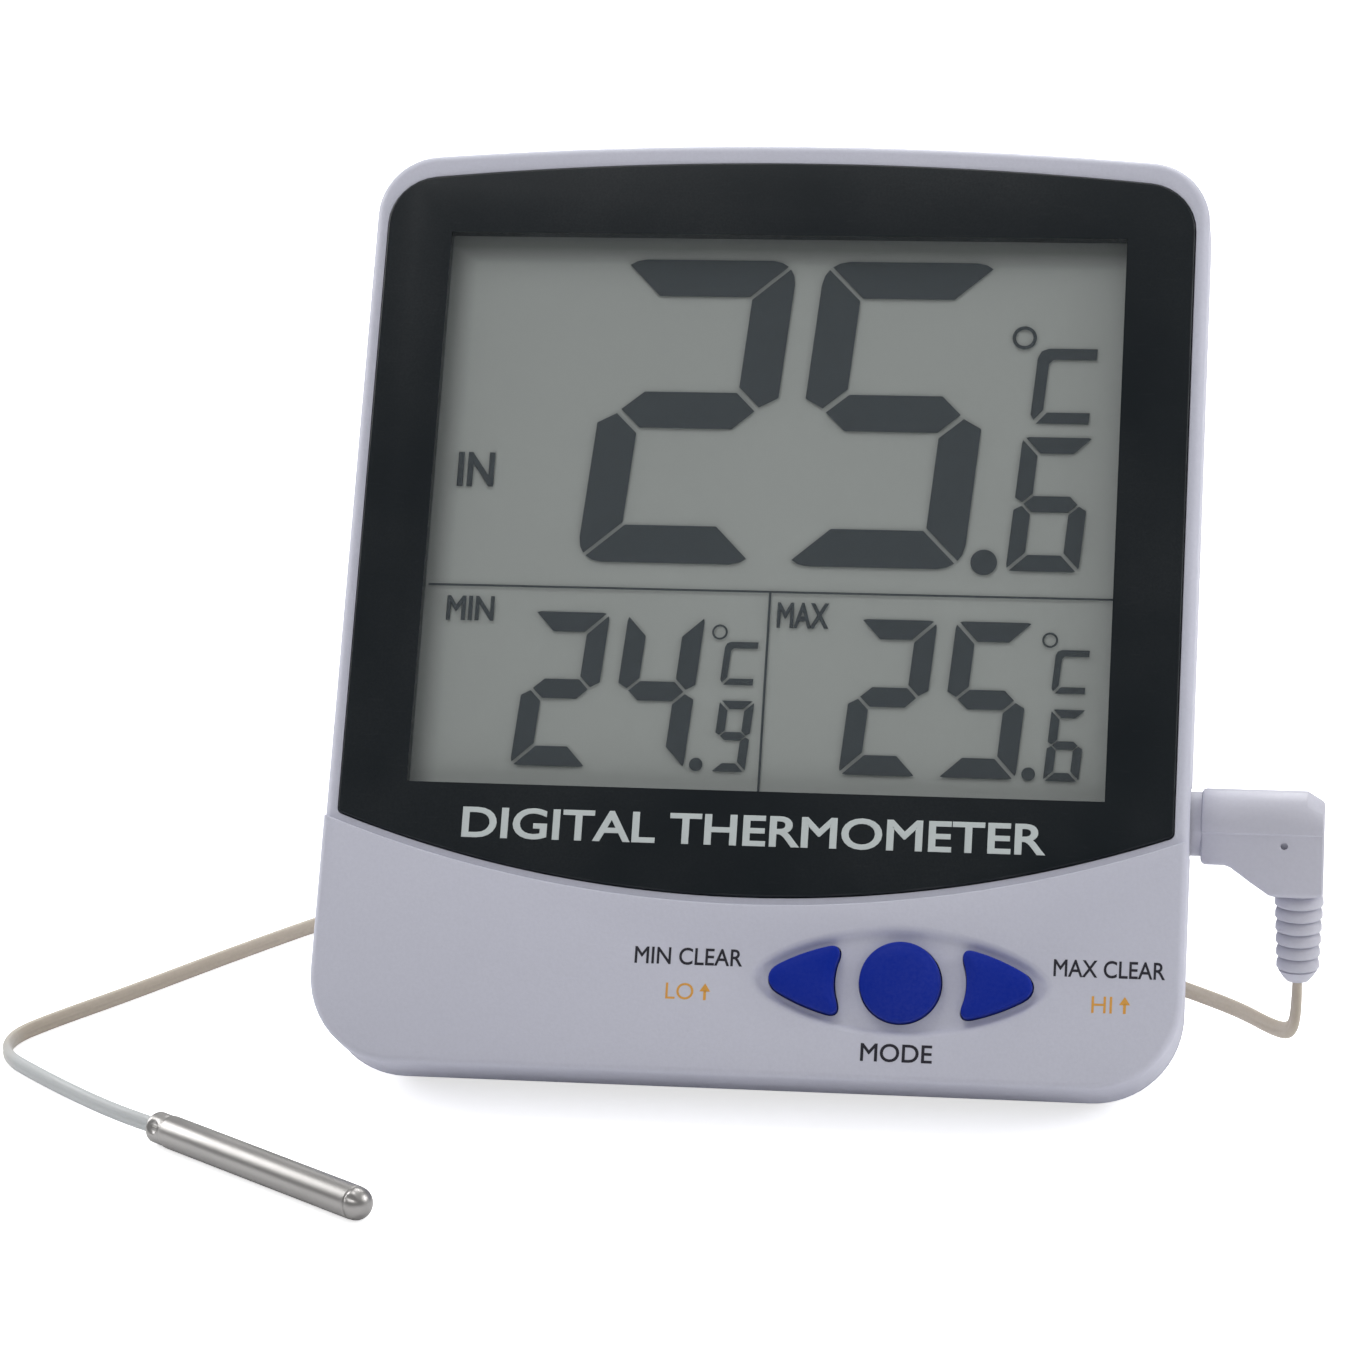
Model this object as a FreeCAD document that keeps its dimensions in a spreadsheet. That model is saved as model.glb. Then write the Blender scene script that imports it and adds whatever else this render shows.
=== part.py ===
import FreeCAD, Part
import math
import os
import Sketcher

# Max/min thermometer with a wired probe.
#
# The case is drawn lying on its back in a face frame: X to the right, Y up the
# face from its bottom edge, Z out of the face, with the face's rim at Z = 0.
# A Placement then stands it up, leaning back.  The plug, the cable and the
# probe are drawn straight in the row's frame: X right, Y back, Z up, with the
# table at Z = 0.

Vector = FreeCAD.Vector
Rotation = FreeCAD.Rotation
Placement = FreeCAD.Placement
AXIS_X = Vector(1, 0, 0)
AXIS_Y = Vector(0, 1, 0)
AXIS_Z = Vector(0, 0, 1)

DIMENSIONS = {
    # case
    "case_width": 100.0,
    "case_side_height": 110.7,
    "case_top_radius": 536.0,
    "front_depth": 8.5,
    "rear_depth": 13.5,
    "rear_draft": 10.0,
    "wall": 1.8,
    "face_wall": 2.0,
    "bottom_corner": 10.5,
    "top_corner": 7.5,
    "front_edge": 1.1,
    "rear_edge": 2.2,
    "lean": 30.0,
    "foot_drop": 6.6,
    "foot_back": 18.0,
    "apron_raise": 0.6,
    "apron_gap": 0.6,
    "apron_inset": 0.6,
    # window lens
    "lens_width": 96.7,
    "lens_side_low": 29.3,
    "lens_side_high": 107.7,
    "lens_top_radius": 437.0,
    "lens_bottom_radius": 141.5,
    "lens_corner": 6.0,
    "lens_thick": 1.5,
    "lens_proud": 0.5,
    "lens_gap": 0.08,
    # display
    "window_width": 82.4,
    "window_low": 32.6,
    "window_high": 101.9,
    "lcd_width": 85.2,
    "lcd_low": 31.4,
    "lcd_high": 102.6,
    "lcd_front": 2.3,
    "lcd_thick": 2.2,
    "frame_wall": 1.3,
    "strip_length": 68.0,
    "strip_width": 2.4,
    # circuit board
    "board_width": 88.0,
    "board_low": 13.2,
    "board_high": 101.6,
    "board_front": 7.4,
    "board_thick": 1.6,
    "tab_left": -18.0,
    "tab_right": 38.0,
    "tab_low": 6.8,
    # keys
    "keys_across": 18.25,
    "keys_up": 11.4,
    "recess_half": 15.7,
    "recess_radius": 23.3,
    "recess_deep": 0.5,
    "round_key": 4.55,
    "leaf_half": 14.55,
    "leaf_radius": 23.67,
    "leaf_inner": 6.2,
    "leaf_inner_up": 4.17,
    "leaf_hollow": 7.35,
    "key_gap": 0.25,
    "key_proud": 1.5,
    "key_flange": 0.9,
    "key_travel": 0.9,
    "plunger_radius": 2.1,
    "plunger_across": 10.4,
    # screws
    "boss_low_across": 42.3,
    "boss_low": 9.6,
    "boss_high_across": 22.0,
    "boss_high": 107.0,
    "boss_radius": 3.0,
    "screw_radius": 1.25,
    "screw_head": 2.0,
    "screw_head_high": 1.6,
    "screw_sunk": 5.0,
    # probe socket and plug
    "socket_up": 33.0,
    "socket_hole": 4.3,
    "jack_half": 3.2,
    "jack_inner": 35.0,
    "jack_outer": 47.6,
    "pin_radius": 1.75,
    "pin_gap": 0.05,
    "pin_tip_end": 35.6,
    "collar_radius": 3.6,
    "collar_start": 49.2,
    "plug_start": 51.2,
    "plug_end": 65.2,
    "barrel_radius": 4.15,
    "plug_block": 3.3,
    "plug_drop": 7.5,
    "relief_across": 62.5,
    "relief_radius": 2.85,
    "relief_length": 10.9,
    # battery
    "cell_across": -33.0,
    "cell_radius": 5.25,
    "cell_length": 44.5,
    "cell_deep": 15.3,
    "bay_half": 5.7,
    "bay_low": 11.5,
    "bay_high": 60.5,
    "bay_wall": 1.2,
    "door_half": 6.9,
    "door_low": 10.0,
    "door_high": 62.5,
    "door_thick": 1.4,
    "door_gap": 0.3,
    # stand leg
    "hinge_up": 75.0,
    "hinge_deep": 19.8,
    "leg_half": 17.6,
    "leg_length": 63.5,
    "leg_thick": 3.0,
    "leg_heel": 1.92,
    "hinge_pin": 1.4,
    "hinge_gap": 0.05,
    "recess_floor": 17.25,
    "stand_half": 18.0,
    "stand_low": 8.5,
    "stand_high": 78.4,
    # rear switch and hanging slot
    "switch_across": 31.0,
    "switch_up": 66.0,
    "switch_travel": 2.5,
    "keyhole_entry": 94.0,
    "keyhole_rise": 7.0,
    "keyhole_bore": 4.0,
    "keyhole_slot": 2.0,
    # cable, coil and probe
    "cable_radius": 1.0,
    "cable_lie": 1.05,
    "coil_across": 4.0,
    "coil_back": 86.0,
    "coil_radius": 12.0,
    "bundle_radius": 5.0,
    "tie_inner": 5.2,
    "tie_outer": 5.6,
    "tie_width": 3.6,
    "probe_radius": 1.9,
    "probe_length": 36.0,
    "probe_bore": 1.5,
    "probe_end_x": -64.3,
    "probe_end_y": -29.2,
    "probe_heading": -36.4,
}

doc = FreeCAD.newDocument("thermometer")
dims = doc.addObject("Spreadsheet::Sheet", "dims")


def fill_sheet():
    """Write every driving dimension into the sheet with its alias."""
    for row, (alias, number) in enumerate(DIMENSIONS.items(), start=1):
        dims.set(f"A{row}", alias)
        dims.set(f"B{row}", str(number))
        dims.setAlias(f"B{row}", alias)
    doc.recompute()


class Size:
    """A length that knows its value and the sheet expression it comes from."""

    def __init__(self, number, text):
        self.number = number
        self.text = text

    def _with(self, sign, other, number):
        text = other.text if isinstance(other, Size) else repr(float(other))
        return Size(number, f"({self.text} {sign} {text})")

    def __add__(self, other):
        return self._with("+", other, self.number + plain(other))

    def __sub__(self, other):
        return self._with("-", other, self.number - plain(other))

    def __mul__(self, other):
        return self._with("*", other, self.number * plain(other))

    def __truediv__(self, other):
        return self._with("/", other, self.number / plain(other))

    def __neg__(self):
        return Size(-self.number, f"(0 - {self.text})")


def plain(length):
    return length.number if isinstance(length, Size) else float(length)


def cell(alias):
    return Size(float(dims.get(alias)), f"dims.{alias}")


def bind(item, prop, length):
    """Give a property its value, bound to the sheet where the value comes from it."""
    if isinstance(length, Size):
        item.setExpression(prop, length.text)
    else:
        setattr(item, prop, length)


# ---------------------------------------------------------------- sketch tools


def origin_plane(body, role):
    return next(item for item in body.Origin.OriginFeatures if item.Role == role)


def new_sketch(body, plane, level):
    """A sketch on one of the body's own origin planes, raised by level."""
    sketch = body.newObject("Sketcher::SketchObject", f"{body.Name}_sketch")
    sketch.AttachmentSupport = [(origin_plane(body, plane), "")]
    sketch.MapMode = "FlatFace"
    sketch.AttachmentOffset = Placement(Vector(0, 0, plain(level)), Rotation())
    if isinstance(level, Size):
        sketch.setExpression(".AttachmentOffset.Base.z", level.text)
    return sketch


def fix(sketch, kind, places, length):
    """Add one dimension to a sketch and bind it."""
    index = sketch.addConstraint(Sketcher.Constraint(kind, *places, plain(length)))
    if isinstance(length, Size):
        sketch.setExpression(f"Constraints[{index}]", length.text)


def arc_between(start, end, radius, turn):
    """An arc from start to end; turn is 1 to the left of travel, -1 to the right."""
    chord = end - start
    rise = math.sqrt(radius ** 2 - (chord.Length / 2) ** 2)
    side = Vector(-chord.y, chord.x, 0).normalize() * rise * turn
    centre = (start + end) * 0.5 + side
    first, last = (start, end) if turn > 0 else (end, start)
    angles = [math.atan2(point.y - centre.y, point.x - centre.x) for point in (first, last)]
    if angles[1] < angles[0]:
        angles[1] += 2 * math.pi
    return Part.ArcOfCircle(Part.Circle(centre, AXIS_Z, radius), *angles)


def outline(sketch, corners, arcs=None):
    """A closed outline through corners; arcs maps an edge's number to (radius, turn)."""
    arcs = arcs or {}
    points = [Vector(plain(x), plain(y), 0) for x, y in corners]
    count = len(points)
    edges = []
    for index, start in enumerate(points):
        end = points[(index + 1) % count]
        if index in arcs:
            radius, turn = arcs[index]
            curve = arc_between(start, end, plain(radius), turn)
        else:
            curve = Part.LineSegment(start, end)
        edges.append(sketch.addGeometry(curve, False))
    heads = [2 if arcs.get(index, (0, 1))[1] < 0 else 1 for index in range(count)]
    for index in range(count):
        following = (index + 1) % count
        tail = 3 - heads[index]
        sketch.addConstraint(
            Sketcher.Constraint("Coincident", edges[index], tail, edges[following], heads[following])
        )
    for index, (x, y) in enumerate(corners):
        fix(sketch, "DistanceX", (-1, 1, edges[index], heads[index]), x)
        fix(sketch, "DistanceY", (-1, 1, edges[index], heads[index]), y)
    for index, (radius, _) in arcs.items():
        fix(sketch, "Radius", (edges[index],), radius)


def rectangle(sketch, left, right, low, high):
    outline(sketch, [(left, low), (right, low), (right, high), (left, high)])


def circle(sketch, x, y, radius):
    centre = Vector(plain(x), plain(y), 0)
    index = sketch.addGeometry(Part.Circle(centre, AXIS_Z, plain(radius)), False)
    fix(sketch, "DistanceX", (-1, 1, index, 3), x)
    fix(sketch, "DistanceY", (-1, 1, index, 3), y)
    fix(sketch, "Radius", (index,), radius)


# --------------------------------------------------------------- feature tools


PIECES = []


def new_body(label):
    body = doc.addObject("PartDesign::Body", label)
    body.Label = label
    PIECES.append(body)
    return body


def pad(body, draw, low, high, plane="XY_Plane", draft=None):
    """Draw on the plane at the upper level and pad down to the lower one."""
    sketch = new_sketch(body, plane, high)
    draw(sketch)
    feature = body.newObject("PartDesign::Pad", f"{body.Name}_pad")
    feature.Profile = sketch
    feature.Reversed = True
    feature.Length = plain(high) - plain(low)
    if isinstance(high, Size) or isinstance(low, Size):
        bind(feature, "Length", Size(0.0, "0") + high - low)
    if draft is not None:
        bind(feature, "TaperAngle", draft)
    doc.recompute()
    return feature


def pocket(body, draw, low, high, plane="XY_Plane"):
    """Cut everything inside the drawn outline between two levels."""
    before = body.Shape.Volume
    sketch = new_sketch(body, plane, high)
    draw(sketch)
    feature = body.newObject("PartDesign::Pocket", f"{body.Name}_pocket")
    feature.Profile = sketch
    feature.Length = plain(high) - plain(low)
    if isinstance(high, Size) or isinstance(low, Size):
        bind(feature, "Length", Size(0.0, "0") + high - low)
    doc.recompute()
    if not body.Shape.Volume < before - 1e-6:
        raise RuntimeError(f"{body.Label}: a pocket cut nothing")
    return feature


def dress(body, kind, size, choose):
    """Round or chamfer the edges of the body's last feature that choose accepts."""
    last = body.Tip
    names = [
        f"Edge{number}"
        for number, edge in enumerate(last.Shape.Edges, start=1)
        if choose(edge)
    ]
    if not names:
        raise RuntimeError(f"{body.Label}: no edge to dress")
    feature = body.newObject(f"PartDesign::{kind}", f"{body.Name}_{kind}")
    feature.Base = (last, names)
    bind(feature, "Radius" if kind == "Fillet" else "Size", size)
    doc.recompute()
    if not feature.isValid():
        raise RuntimeError(f"{body.Label}: {feature.Label} failed on {names}")
    return feature


def revolve(body, draw, plane="XZ_Plane", about="V_Axis"):
    sketch = new_sketch(body, plane, 0.0)
    draw(sketch)
    feature = body.newObject("PartDesign::Revolution", f"{body.Name}_turn")
    feature.Profile = sketch
    feature.ReferenceAxis = (sketch, [about])
    feature.Angle = 360.0
    doc.recompute()
    return feature


def block(label, left, right, low, high, back, front):
    """A plain box body in the face frame."""
    body = new_body(label)
    pad(body, lambda sketch: rectangle(sketch, left, right, low, high), back, front)
    return body


def disc(label, x, y, radius, back, front):
    """A plain round body in the face frame."""
    body = new_body(label)
    pad(body, lambda sketch: circle(sketch, x, y, radius), back, front)
    return body


def level_between(edge, low, high):
    box = edge.BoundBox
    return box.ZMin > low and box.ZMax < high


def runs_through(edge, low, high):
    """True for an edge that crosses from one level to the other."""
    box = edge.BoundBox
    return box.ZMin < low + 0.05 and box.ZMax > high - 0.05


# ---------------------------------------------------------------- placements


def face_placement():
    """Stand the face frame up, leaning back, with the foot land on the table."""
    turn = Rotation(AXIS_X, 90 - cell("lean").number)
    return Placement(Vector(0, -cell("foot_back").number, cell("foot_drop").number), turn)


def in_row(x, y, z):
    """A point of the face frame, in the row's frame."""
    return face_placement().multVec(Vector(plain(x), plain(y), plain(z)))


def foot_line(sketch, reach):
    """A half plane below the foot land, drawn on the face frame's YZ plane."""
    lean = math.radians(cell("lean").number)
    drop = cell("foot_drop").number
    along = Vector(math.sin(lean), -math.cos(lean), 0)
    down = Vector(-math.cos(lean), -math.sin(lean), 0)
    middle = down * drop
    points = [middle - along * reach, middle - along * reach + down * 20]
    points += [middle + along * reach + down * 20, middle + along * reach]
    outline(sketch, [(point.x, point.y) for point in points])


# ------------------------------------------------------------------ the case


def case_sides(sketch, inset=0.0):
    """The case's outline, inset from its edge: flat foot, straight sides, arched top."""
    half = cell("case_width") / 2 - inset
    top = cell("case_side_height") - inset
    low = Size(0.0, "0") + inset
    corners = [(-half, low), (half, low), (half, top), (-half, top)]
    outline(sketch, corners, {2: (cell("case_top_radius") - inset, 1)})


def round_case_corners(body, low, high):
    """Round the four corners that run through the case's depth."""
    middle = plain(cell("case_side_height")) / 2

    def bottom(edge):
        box = edge.BoundBox
        return runs_through(edge, low, high) and box.YMax < middle and box.XLength < 6

    def top(edge):
        box = edge.BoundBox
        return runs_through(edge, low, high) and box.YMin > middle and box.XLength < 6

    dress(body, "Fillet", cell("bottom_corner"), bottom)
    dress(body, "Fillet", cell("top_corner"), top)


def socket_cut(body):
    """The round way through the right side for the plug's collar."""
    def draw(sketch):
        circle(sketch, cell("socket_up"), -cell("front_depth"), cell("socket_hole"))

    half = cell("case_width") / 2
    pocket(body, draw, half - 5.0, half + 3.0, "YZ_Plane")


def boss_places():
    """The four screws: two in the bottom corners, two above the display."""
    places = []
    for row in ("low", "high"):
        across = cell(f"boss_{row}_across")
        up = cell(f"boss_{row}")
        places += [(-across, up), (across, up)]
    return places


def lens_outline(sketch, grow=0.0):
    half = cell("lens_width") / 2 + grow
    low = cell("lens_side_low") - grow
    high = cell("lens_side_high") + grow
    corners = [(-half, low), (half, low), (half, high), (-half, high)]
    arcs = {
        0: (cell("lens_bottom_radius") + grow, 1),
        2: (cell("lens_top_radius") + grow, 1),
    }
    outline(sketch, corners, arcs)


def apron_outline(sketch):
    """Below the window, just inside the case's sides; its top follows the window's arc."""
    inset = cell("apron_inset")
    half = cell("case_width") / 2 - inset
    gap = cell("apron_gap")
    high = cell("lens_side_low") - gap + 0.3
    corner = cell("bottom_corner") - inset
    corners = [(-half, inset + corner), (-half + corner, inset), (half - corner, inset)]
    corners += [(half, inset + corner), (half, high), (-half, high)]
    top = (cell("lens_bottom_radius") + gap, -1)
    outline(sketch, corners, {0: (corner, 1), 2: (corner, 1), 4: top})


def pointed_oval(sketch, half, radius):
    x = cell("keys_across")
    y = cell("keys_up")
    outline(sketch, [(x - half, y), (x + half, y)], {0: (radius, 1), 1: (radius, 1)})


def leaf(sketch, side, grow=0.0):
    """A leaf key: pointed outside, hollow beside the round key."""
    x = cell("keys_across")
    y = cell("keys_up")
    tip = x + (cell("leaf_half") + grow * 1.8) * side
    inner = x + (cell("leaf_inner") - grow) * side
    rise = cell("leaf_inner_up") + grow
    outer = cell("leaf_radius") + grow
    hollow = cell("leaf_hollow") - grow
    if side > 0:
        corners = [(inner, y + rise), (inner, y - rise), (tip, y)]
    else:
        corners = [(inner, y - rise), (inner, y + rise), (tip, y)]
    outline(sketch, corners, {0: (hollow, -1), 1: (outer, 1), 2: (outer, 1)})


def round_key(sketch, grow=0.0):
    circle(sketch, cell("keys_across"), cell("keys_up"), cell("round_key") + grow)


KEYS = {
    "min": lambda sketch, grow=0.0: leaf(sketch, -1, grow),
    "mode": round_key,
    "max": lambda sketch, grow=0.0: leaf(sketch, 1, grow),
}


def make_front_case():
    body = new_body("front_case")
    parting = -cell("front_depth")
    inner = -cell("face_wall")
    pad(body, case_sides, parting, 0.0)
    round_case_corners(body, plain(parting), 0.0)
    dress(body, "Fillet", cell("front_edge"), lambda edge: level_between(edge, -0.01, 0.01))
    pad(body, apron_outline, -1.3, cell("apron_raise"))
    open_front_case(body, parting, inner)


def open_front_case(body, parting, inner):
    """The window, the hollow inside, the screw bosses, the key holes and the socket."""
    gap = cell("lens_gap")
    pocket(body, lambda sketch: lens_outline(sketch, gap), cell("lens_proud") - cell("lens_thick"), 2.0)
    wide = cell("window_width") / 2

    def window(sketch):
        rectangle(sketch, -wide, wide, cell("window_low"), cell("window_high"))

    pocket(body, window, inner - 0.5, 1.0)

    def hollow(sketch):
        case_sides(sketch, cell("wall"))

    pocket(body, hollow, parting - 1.0, inner)

    def bosses(sketch):
        for x, y in boss_places():
            circle(sketch, x, y, cell("boss_radius"))

    pad(body, bosses, parting, inner + 0.3)

    def pilots(sketch):
        for x, y in boss_places():
            circle(sketch, x, y, cell("screw_radius"))

    pocket(body, pilots, parting - 1.0, inner - 0.4)
    floor = cell("apron_raise") - cell("recess_deep")
    pocket(
        body,
        lambda sketch: pointed_oval(sketch, cell("recess_half"), cell("recess_radius")),
        floor,
        2.0,
    )
    for draw in KEYS.values():
        pocket(body, lambda sketch: draw(sketch, cell("key_gap")), inner - 1.0, 1.0)
    socket_cut(body)


def rear_outline(sketch):
    case_sides(sketch)


def make_rear_case():
    body = new_body("rear_case")
    parting = -cell("front_depth")
    back = parting - cell("rear_depth")
    inner = back + cell("wall")
    pad(body, rear_outline, back, parting, draft=-cell("rear_draft"))
    round_case_corners(body, plain(back), plain(parting))
    dress(
        body,
        "Fillet",
        cell("rear_edge"),
        lambda edge: level_between(edge, plain(back) - 0.1, plain(back) + 0.1),
    )
    pocket(body, lambda sketch: foot_line(sketch, 60.0), -60.0, 60.0, "YZ_Plane")

    def cavity(sketch):
        half = cell("case_width") / 2 - cell("wall") * 2.6
        top = cell("case_side_height") - cell("wall") * 2.6
        rectangle(sketch, -half, half, 6.4, top)

    pocket(body, cavity, inner, parting + 1.0)
    add_rear_walls(body, back, inner, parting)
    cut_rear_openings(body, back, inner, parting)


def add_rear_walls(body, back, inner, parting):
    def bosses(sketch):
        for x, y in boss_places():
            circle(sketch, x, y, cell("boss_radius"))

    pad(body, bosses, inner - 0.3, parting)
    half = cell("bay_half") + cell("bay_wall")
    x = cell("cell_across")

    def bay(sketch):
        wall = cell("bay_wall")
        rectangle(sketch, x - half, x + half, cell("bay_low") - wall, cell("bay_high") + wall)

    pad(body, bay, inner - 0.3, -9.2)
    side = cell("stand_half") + cell("bay_wall")

    def stand(sketch):
        wall = cell("bay_wall")
        rectangle(sketch, -side, side, cell("stand_low") - wall, cell("stand_high") + wall)

    pad(body, stand, inner - 0.3, -cell("recess_floor") + cell("bay_wall"))

    def pin_ears(sketch):
        for left in (-(cell("stand_half") + 4.0), cell("stand_half") - 0.2):
            rectangle(sketch, left, left + 4.2, cell("hinge_up") - 3.4, cell("hinge_up") + 3.4)

    pad(body, pin_ears, inner - 0.3, -cell("recess_floor") + cell("bay_wall"))


def cut_rear_openings(body, back, inner, parting):
    outside = back - 3.0
    x = cell("cell_across")
    half = cell("bay_half")

    def bay(sketch):
        rectangle(sketch, x - half, x + half, cell("bay_low"), cell("bay_high"))

    pocket(body, bay, outside, -10.0)

    def door_seat(sketch):
        wide = cell("door_half") + cell("door_gap")
        rectangle(sketch, x - wide, x + wide, cell("door_low") - 0.3, cell("door_high") + 0.3)

    pocket(body, door_seat, outside, back + cell("door_thick"))

    def stand(sketch):
        side = cell("stand_half")
        rectangle(sketch, -side, side, cell("stand_low"), cell("stand_high"))

    pocket(body, stand, outside, -cell("recess_floor"))

    def hinge(sketch):
        circle(sketch, cell("hinge_up"), -cell("hinge_deep"), cell("hinge_pin") + cell("hinge_gap"))

    reach = cell("stand_half") + 2.5
    pocket(body, hinge, -reach, reach, "YZ_Plane")

    def shanks(sketch):
        for across, up in boss_places():
            circle(sketch, across, up, cell("screw_radius") + 0.15)

    pocket(body, shanks, outside, parting + 1.0)

    def heads(sketch):
        for across, up in boss_places():
            circle(sketch, across, up, cell("screw_head") + 0.2)

    pocket(body, heads, outside, back + cell("screw_sunk"))

    def switch_slot(sketch):
        across = cell("switch_across")
        up = cell("switch_up")
        rectangle(sketch, across - 1.7, across + 1.7, up - 3.4, up + 3.4)

    pocket(body, switch_slot, outside, inner + 1.0)

    def keyhole(sketch):
        circle(sketch, 0.0, cell("keyhole_entry"), cell("keyhole_bore"))

    pocket(body, keyhole, outside, inner + 1.0)

    def hanging_slot(sketch):
        slot = cell("keyhole_slot")
        low = cell("keyhole_entry")
        high = low + cell("keyhole_rise")
        outline(
            sketch,
            [(-slot, low), (slot, low), (slot, high), (-slot, high)],
            {2: (slot + 0.001, 1)},
        )

    pocket(body, hanging_slot, outside, inner + 1.0)

    def sound_holes(sketch):
        circle(sketch, 28.0, 90.0, 0.7)
        for index in range(6):
            angle = math.radians(60 * index)
            circle(sketch, 28 + 3.2 * math.cos(angle), 90 + 3.2 * math.sin(angle), 0.7)

    pocket(body, sound_holes, outside, inner + 1.0)
    socket_cut(body)


def make_lens():
    body = new_body("display_lens")
    back = cell("lens_proud") - cell("lens_thick")
    pad(body, lens_outline, back, cell("lens_proud"))
    middle = plain(cell("lens_side_high")) - 20
    low = plain(back)
    high = plain(cell("lens_proud"))
    dress(
        body,
        "Fillet",
        cell("lens_corner"),
        lambda edge: runs_through(edge, low, high) and edge.BoundBox.YMin > middle,
    )
    dress(body, "Chamfer", 0.35, lambda edge: level_between(edge, high - 0.01, high + 0.01))


def make_display():
    """The display glass with its backing, frame and rubber connector strips."""
    half = cell("lcd_width") / 2
    low = cell("lcd_low")
    high = cell("lcd_high")
    front = -cell("lcd_front")
    back = front - cell("lcd_thick")
    block("lcd_panel", -half, half, low, high, back, front)
    block("lcd_backing", -half + 4.5, half - 4.5, low + 4.5, high - 4.5, back - 0.6, back)
    frame = new_body("lcd_frame")
    wall = cell("frame_wall")

    def outside(sketch):
        rectangle(sketch, -half - wall, half + wall, low - wall, high + wall)

    def inside(sketch):
        rectangle(sketch, -half - 0.1, half + 0.1, low - 0.1, high + 0.1)

    pad(frame, outside, back - 0.6, front + 0.2)
    pocket(frame, inside, back - 1.6, front + 1.0)
    reach = cell("strip_length") / 2
    width = cell("strip_width")
    board = -cell("board_front")
    block("connector_strip_top", -reach, reach, high - 1.0 - width, high - 1.0, board, back)
    block("connector_strip_bottom", -reach, reach, low + 1.0, low + 1.0 + width, board, back)


def make_board():
    body = new_body("circuit_board")
    half = cell("board_width") / 2
    low = cell("board_low")
    high = cell("board_high")
    front = -cell("board_front")
    back = front - cell("board_thick")
    corners = [(-half, low), (cell("tab_left"), low), (cell("tab_left"), cell("tab_low"))]
    corners += [(cell("tab_right"), cell("tab_low")), (cell("tab_right"), low), (half, low)]
    corners += [(half, high), (-half, high)]
    pad(body, lambda sketch: outline(sketch, corners), back, front)

    def notch(sketch):
        up = cell("socket_up")
        reach = cell("jack_half") + 0.4
        rectangle(sketch, cell("jack_inner") - 0.6, half + 2.0, up - reach, up + reach)

    pocket(body, notch, back - 1.0, front + 1.0)
    disc("chip_cover", -4.0, 84.0, 6.5, back - 1.5, back)
    block("crystal", 8.0, 16.0, 92.0, 95.0, back - 3.0, back)
    disc("buzzer", 28.0, 90.0, 6.5, back - 4.2, back)
    x = cell("switch_across")
    y = cell("switch_up")
    block("switch_body", x - 2.6, x + 2.6, y - 5.0, y + 5.0, back - 4.4, back)


def make_switch_knob():
    x = cell("switch_across")
    low = cell("switch_up") - cell("switch_travel") / 2
    body = new_body("switch_knob")
    rear = -(cell("front_depth") + cell("rear_depth"))

    def stem(sketch):
        rectangle(sketch, x - 1.1, x + 1.1, low - 1.0, low + 1.0)

    def cap(sketch):
        rectangle(sketch, x - 1.5, x + 1.5, low - 1.7, low + 1.7)

    pad(body, stem, rear + 2.5, -13.5)
    pad(body, cap, rear - 0.6, rear + 2.6)


def make_keys():
    top = cell("apron_raise") + cell("key_proud") - cell("recess_deep")
    under = -cell("face_wall") - 0.15
    flange = under - cell("key_flange")
    x = cell("keys_across")
    y = cell("keys_up")
    high = plain(top)
    for number, (name, draw) in enumerate(KEYS.items()):
        body = new_body(f"{name}_key")
        pad(body, draw, flange, top)
        dress(body, "Fillet", 0.5, lambda edge: level_between(edge, high - 0.01, high + 0.01))

        def base(sketch):
            grow = Size(0.7, "0.7")
            draw(sketch, grow)

        pad(body, base, flange, under)
        across = x + cell("plunger_across") * (number - 1)
        disc(f"{name}_plunger", across, y, cell("plunger_radius"), flange - 3.35, flange)
    body = new_body("key_mat")
    board = -cell("board_front")

    def sheet(sketch):
        rectangle(sketch, x - 16.5, x + 16.5, y - 4.4, y + 4.4)

    def holes(sketch):
        for number in (-1, 0, 1):
            circle(sketch, x + cell("plunger_across") * number, y, cell("plunger_radius") + 0.6)

    pad(body, sheet, board, board + 0.9)
    pocket(body, holes, board - 1.0, board + 2.0)


def make_jack():
    """The round socket on the board that the plug goes into."""
    body = new_body("probe_jack")
    up = cell("socket_up")
    deep = -cell("front_depth")
    half = cell("jack_half")

    def housing(sketch):
        rectangle(sketch, up - half, up + half, deep - half, deep + half)

    def neck(sketch):
        circle(sketch, up, deep, 3.0)

    def bore(sketch):
        circle(sketch, up, deep, cell("pin_radius") + cell("pin_gap"))

    inner = cell("jack_inner")
    outer = cell("jack_outer")
    pad(body, housing, inner, outer, "YZ_Plane")
    pad(body, neck, outer - 0.5, outer + 1.2, "YZ_Plane")
    pocket(body, bore, inner - 1.0, outer + 2.0, "YZ_Plane")


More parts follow.
